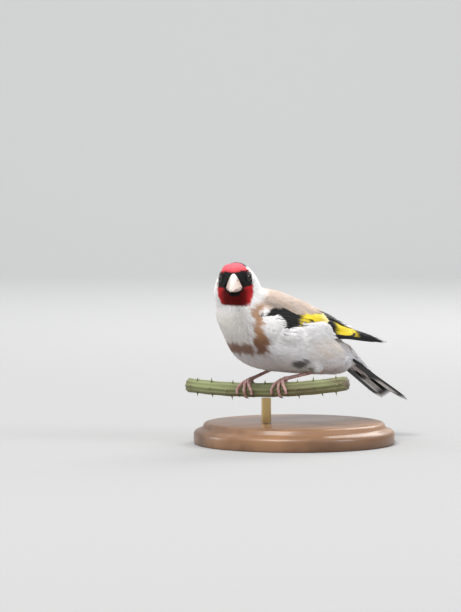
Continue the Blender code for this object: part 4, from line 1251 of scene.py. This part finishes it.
def stem_frame(along):
    """Middle point, direction, forward and up vectors of the stem there."""
    direction = unit(stem_axis(along + 0.5) - stem_axis(along - 0.5))
    forward = unit(np.cross(direction, (0, 0, 1)))
    return stem_axis(along), direction, forward, np.cross(forward, direction)


def grip_point(along, angle, radius, aside=0.0):
    """Point round the stem: angle 0 is on top, and it grows towards the bird's front."""
    middle, direction, forward, up = stem_frame(along)
    reach = STEM_RADIUS + FOOT_GAP + radius
    return middle + direction * aside + (up * math.cos(angle) + forward * math.sin(angle)) * reach


Toe = namedtuple("Toe", "start end aside claw joints")

TOES = {
    "inner": Toe(4, 112, -3.4, 36, 2),
    "middle": Toe(4, 138, 0.2, 36, 3),
    "outer": Toe(4, 116, 3.6, 36, 4),
    "hind": Toe(-8, -96, 0.4, -58, 1),
}


def tube_along(points, radii, count, ridges=0.0, reference=(1, 0, 0)):
    """A closed tube through points, with shallow overlapping scutes on it."""
    points = np.asarray(points, float)
    directions = np.gradient(points, axis=0)
    rings = []
    for index, (point, direction, radius) in enumerate(zip(points, directions, radii)):
        scute = 1 + ridges * ((index % 3) / 2 - 0.5)
        rings.append(ring_round(point, direction, reference, radius * scute, count))
    return loft(rings)


def make_toe(along, toe):
    """One toe and its claw, each as a tube round the stem."""
    shares = np.linspace(0, 1, 31)
    points, radii = [], []
    for share in shares:
        angle = math.radians(lerp(toe.start, toe.end, share))
        pad = 0.5 + 0.5 * math.cos(2 * math.pi * share * toe.joints)
        radius = TOE_RADIUS * (1 - 0.24 * share) * (0.93 + 0.14 * pad)
        aside = toe.aside * min(1.0, share * 1.3)
        points.append(grip_point(along, angle, radius * 1.02, aside))
        radii.append(radius)
    claw_points, claw_radii = [], []
    for share in np.linspace(-0.12, 1, 16):
        angle = math.radians(toe.end + toe.claw * share)
        lift = 0.5 - 0.32 * max(share, 0)
        claw_points.append(grip_point(along, angle, lift, toe.aside))
        claw_radii.append(TOE_RADIUS * (0.62 - 0.54 * max(share, 0) ** 0.8))
    reference = stem_frame(along)[1]
    flesh = tube_along(points, radii, 14, 0.06, reference)
    return flesh, tube_along(claw_points, claw_radii, 10, 0.0, reference)


def make_legs(skin_material, claw_material):
    for side, word in WORDS.items():
        along = FOOT_ALONG[side]
        heel = np.array((side * HEEL[0], HEEL[1], HEEL[2]))
        ankle = grip_point(along, math.radians(-14), 1.1)
        shares = np.linspace(-0.04, 1, 46)
        line = [lerp(heel, ankle, share) for share in shares]
        swell = np.interp(shares, (-0.04, 0.04, 0.15, 0.5, 0.85, 1.0), (1.35, 1.3, 1.05, 0.92, 1.0, 1.35))
        shank = tube_along(line, TARSUS_RADIUS * swell, 16, 0.07)
        piece_from_bmesh(f"shank_{word}", shank, skin_material, (f"tarsus_{word}",))
        foot, claws = bmesh.new(), bmesh.new()
        knuckle = [lerp(ankle, grip_point(along, 0.12, 0.9), share) for share in np.linspace(-0.25, 1, 9)]
        add_to(foot, tube_along(knuckle, np.linspace(1.12, 0.8, 9) * TARSUS_RADIUS, 14))
        for toe in TOES.values():
            toe_tube, claw_tube = make_toe(along, toe)
            add_to(foot, toe_tube)
            add_to(claws, claw_tube)
        piece_from_bmesh(f"toes_{word}", foot, skin_material, (f"foot_{word}",))
        piece_from_bmesh(f"claws_{word}", claws, claw_material)


def leg_material():
    """Flesh-pink horny skin with darker spots."""
    tones = (0.35, (0.36, 0.19, 0.17)), (0.65, (0.60, 0.37, 0.35))
    finish = {"coat": 0.1, "subsurface": 0.08}
    return grained_material("leg_skin", (0.55, 0.34, 0.28), 0.48, (900, 4.0), (0.3, 0.0001), tones, **finish)


# Stem and stand
def thistle_material():
    """Dry green stem with brown streaks along it."""
    tones = (0.36, (0.115, 0.085, 0.045)), (0.62, (0.235, 0.265, 0.115))
    grain = (160, 5.0, (0.12, 1, 1))
    return grained_material("thistle_stem", (0.2, 0.22, 0.1), 0.7, grain, (0.5, 0.0003), tones, sheen=0.15)


def make_stem(material):
    """A ribbed stem with short prickles."""
    rings = []
    turns = np.linspace(0, 2 * math.pi, 72, endpoint=False)
    for along in np.linspace(-STEM_LENGTH / 2, STEM_LENGTH / 2, 90):
        middle, direction, _, up = stem_frame(along)
        swell = 1 + 0.02 * math.sin(along * 0.6)
        ribs = STEM_RADIUS * swell * (0.94 + 0.06 * np.cos(9 * turns))
        rings.append(ring_round(middle, direction, np.cross(direction, up), ribs, len(turns)))
    bm = loft(rings)
    add_prickles(bm)
    piece_from_bmesh("cut_stem", bm, material, ("perch_stem",))


def add_prickles(bm):
    """Adds short prickles in five rows, away from the feet and from the rod's end under the stem."""
    draw = np.random.default_rng(7)
    for row in range(5):
        for i in range(9):
            along = STEM_LENGTH * ((i + 0.5) / 9 - 0.5) + draw.uniform(-2, 2)
            turn = 2 * math.pi * row / 5 + 0.35 + draw.uniform(-0.1, 0.1)
            middle, direction, forward, up = stem_frame(along)
            outward = up * math.cos(turn) + forward * math.sin(turn)
            near_foot = min(abs(along - FOOT_ALONG[1]), abs(along - FOOT_ALONG[-1])) < 7.5
            if near_foot or (abs(along) < 5 and outward[2] < 0.2):
                continue
            lean = unit(outward + direction * draw.uniform(0.2, 0.5))
            length = 2.4 * draw.uniform(0.8, 1.15)
            root = middle + outward * STEM_RADIUS * 0.97
            points = [root + lean * (length * k - 0.6) for k in np.linspace(0, 1, 7)]
            radii = 0.6 * (1 - np.linspace(0, 1, 7)) ** 1.3 + 0.04
            add_to(bm, tube_along(points, radii, 8, 0.0, direction))


def make_stand(wood, brass):
    bm = turned([(radius * MM, height * MM) for radius, height in BASE_PROFILE], 0.00002)
    obj = piece_from_bmesh("turned_base", bm, wood, ("stand_base",), scale_to_world=False)
    obj.data.set_sharp_from_angle(angle=math.radians(40))
    low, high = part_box("stand_rod")
    middle = (Vector(low) + Vector(high)) / 2
    bm = bmesh.new()
    bmesh.ops.create_cone(
        bm, cap_ends=True, segments=48, radius1=ROD_RADIUS * MM, radius2=ROD_RADIUS * MM,
        depth=high[2] - low[2], matrix=Matrix.Translation(middle),
    )
    rod = piece_from_bmesh("brass_rod", bm, brass, ("stand_rod",), scale_to_world=False)
    rod.data.set_sharp_from_angle(angle=math.radians(40))


# Setting
LIGHTS = (  # name, place, size, power in watts, colour and whether it aims at the wall
    ("key", (0.25, -0.60, 1.05), 0.60, 13.0, (1.0, 0.98, 0.95), False),
    ("fill", (0.85, 0.38, 0.50), 0.35, 4.0, (0.96, 0.98, 1.0), False),
    ("left_fill", (-0.85, -0.68, 0.32), 0.35, 2.5, (1.0, 0.99, 0.97), False),
    ("rim", (-0.35, 0.85, 0.75), 0.60, 5.0, (1.0, 0.98, 0.95), False),
    ("wall_wash", (-0.80, 0.62, 1.50), 0.80, 26.0, (1.0, 0.99, 0.98), True),
)
WALL_AIM = Vector((-1.8, 1.4, 0.25))
BIRD_AIM = Vector(to_world((0, -5, 18)))


def make_floor(material):
    """A pale floor that curves up to a wall all round."""
    flat, bend = 1.6, 0.7  # the floor's radius and that of its curve, in metres
    profile = [(0.0, 0.0), (flat, 0.0)]
    turns = np.linspace(0.1, math.pi / 2, 14)
    profile += [(flat + bend * math.sin(a), bend - bend * math.cos(a)) for a in turns]
    bm = turned(profile, 0.0005)
    bmesh.ops.recalc_face_normals(bm, faces=bm.faces)
    bmesh.ops.reverse_faces(bm, faces=bm.faces)
    floor = new_object("floor", mesh_from("floor", bm))
    floor.data.shade_smooth()
    floor.data.materials.append(material)


def make_lights():
    """A soft sky and five lights, one of them for the wall behind the bird."""
    world = bpy.data.worlds.new("soft_sky")
    bpy.context.scene.world = world
    world.use_nodes = True
    world.node_tree.nodes["Background"].inputs["Color"].default_value = (0.93, 0.96, 1.0, 1)
    world.node_tree.nodes["Background"].inputs["Strength"].default_value = 0.70
    bpy.context.scene.view_settings.view_transform = "Standard"
    for name, place, size, power, colour, at_wall in LIGHTS:
        aim = WALL_AIM if at_wall else BIRD_AIM
        data = bpy.data.lights.new(name, "AREA")
        data.size = size
        data.energy = power
        data.color = colour
        light = new_object(name, data)
        light.location = place
        light.rotation_euler = (aim - Vector(place)).to_track_quat("-Z", "Y").to_euler()


def make_camera():
    """The photograph's view: its scale, its place of the bird in the frame, and a long lens."""
    back = np.array((
        math.sin(VIEW_AZIMUTH) * math.cos(VIEW_ELEVATION),
        -math.cos(VIEW_AZIMUTH) * math.cos(VIEW_ELEVATION),
        math.sin(VIEW_ELEVATION),
    ))
    right = np.array((math.cos(VIEW_AZIMUTH), math.sin(VIEW_AZIMUTH), 0.0))
    up = np.cross(back, right)
    across = (IMAGE_WIDTH / 2 - GRIP_PIXEL[0]) / PIXELS_PER_MM
    above = (GRIP_PIXEL[1] - IMAGE_HEIGHT / 2) / PIXELS_PER_MM
    middle = right * across + up * above
    data = bpy.data.cameras.new("camera")
    data.sensor_width = 36.0
    data.lens = 36.0 * VIEW_DISTANCE / (IMAGE_HEIGHT / PIXELS_PER_MM)
    data.clip_start, data.clip_end = 0.01, 20.0
    camera = new_object("camera", data)
    camera.location = Vector(to_world(middle + back * VIEW_DISTANCE))
    camera.rotation_mode = "QUATERNION"
    camera.rotation_quaternion = Vector(-back).to_track_quat("-Z", "Y")
    bpy.context.scene.camera = camera


def main():
    feather = tinted_material("small_feathers", 0.80, 1400, 0.05, 0.15, sheen=0.05, gloss=0.12)
    down = tinted_material("down", 0.95, 900, 0.12, 0.5, sheen=0.03, gloss=0.1)
    vane = vane_material()
    horn = tinted_material("horn", 0.34, 500, 0.05, 0.10, coat=0.2, subsurface=0.10)
    ball = tinted_material("eye_ball", 0.03, 900, 0.1, 0.0, coat=0.3, gloss=0.25)
    lid = tinted_material("eyelid_skin", 0.55, 2500, 0.25, 0.4)
    pale = (0.40, 0.40, 0.40)
    make_camera()
    make_floor(grained_material("pale_floor", pale, 0.9, (25, 2.0), (0.03, 0.0005), gloss=0.2))
    make_lights()
    skin = body_skin(down)
    cover = make_large_feathers(vane, skin)
    coat = place_coat(skin, cover)
    make_coat(coat, feather)
    make_bill(horn)
    make_eyes(ball, lid)
    claw = grained_material("claw_horn", (0.10, 0.065, 0.05), 0.3, (1200, 2.0), (0.15, 0.00005), coat=0.3)
    make_legs(leg_material(), claw)
    make_stem(thistle_material())
    make_stand(wood_material(), brass_material())


main()
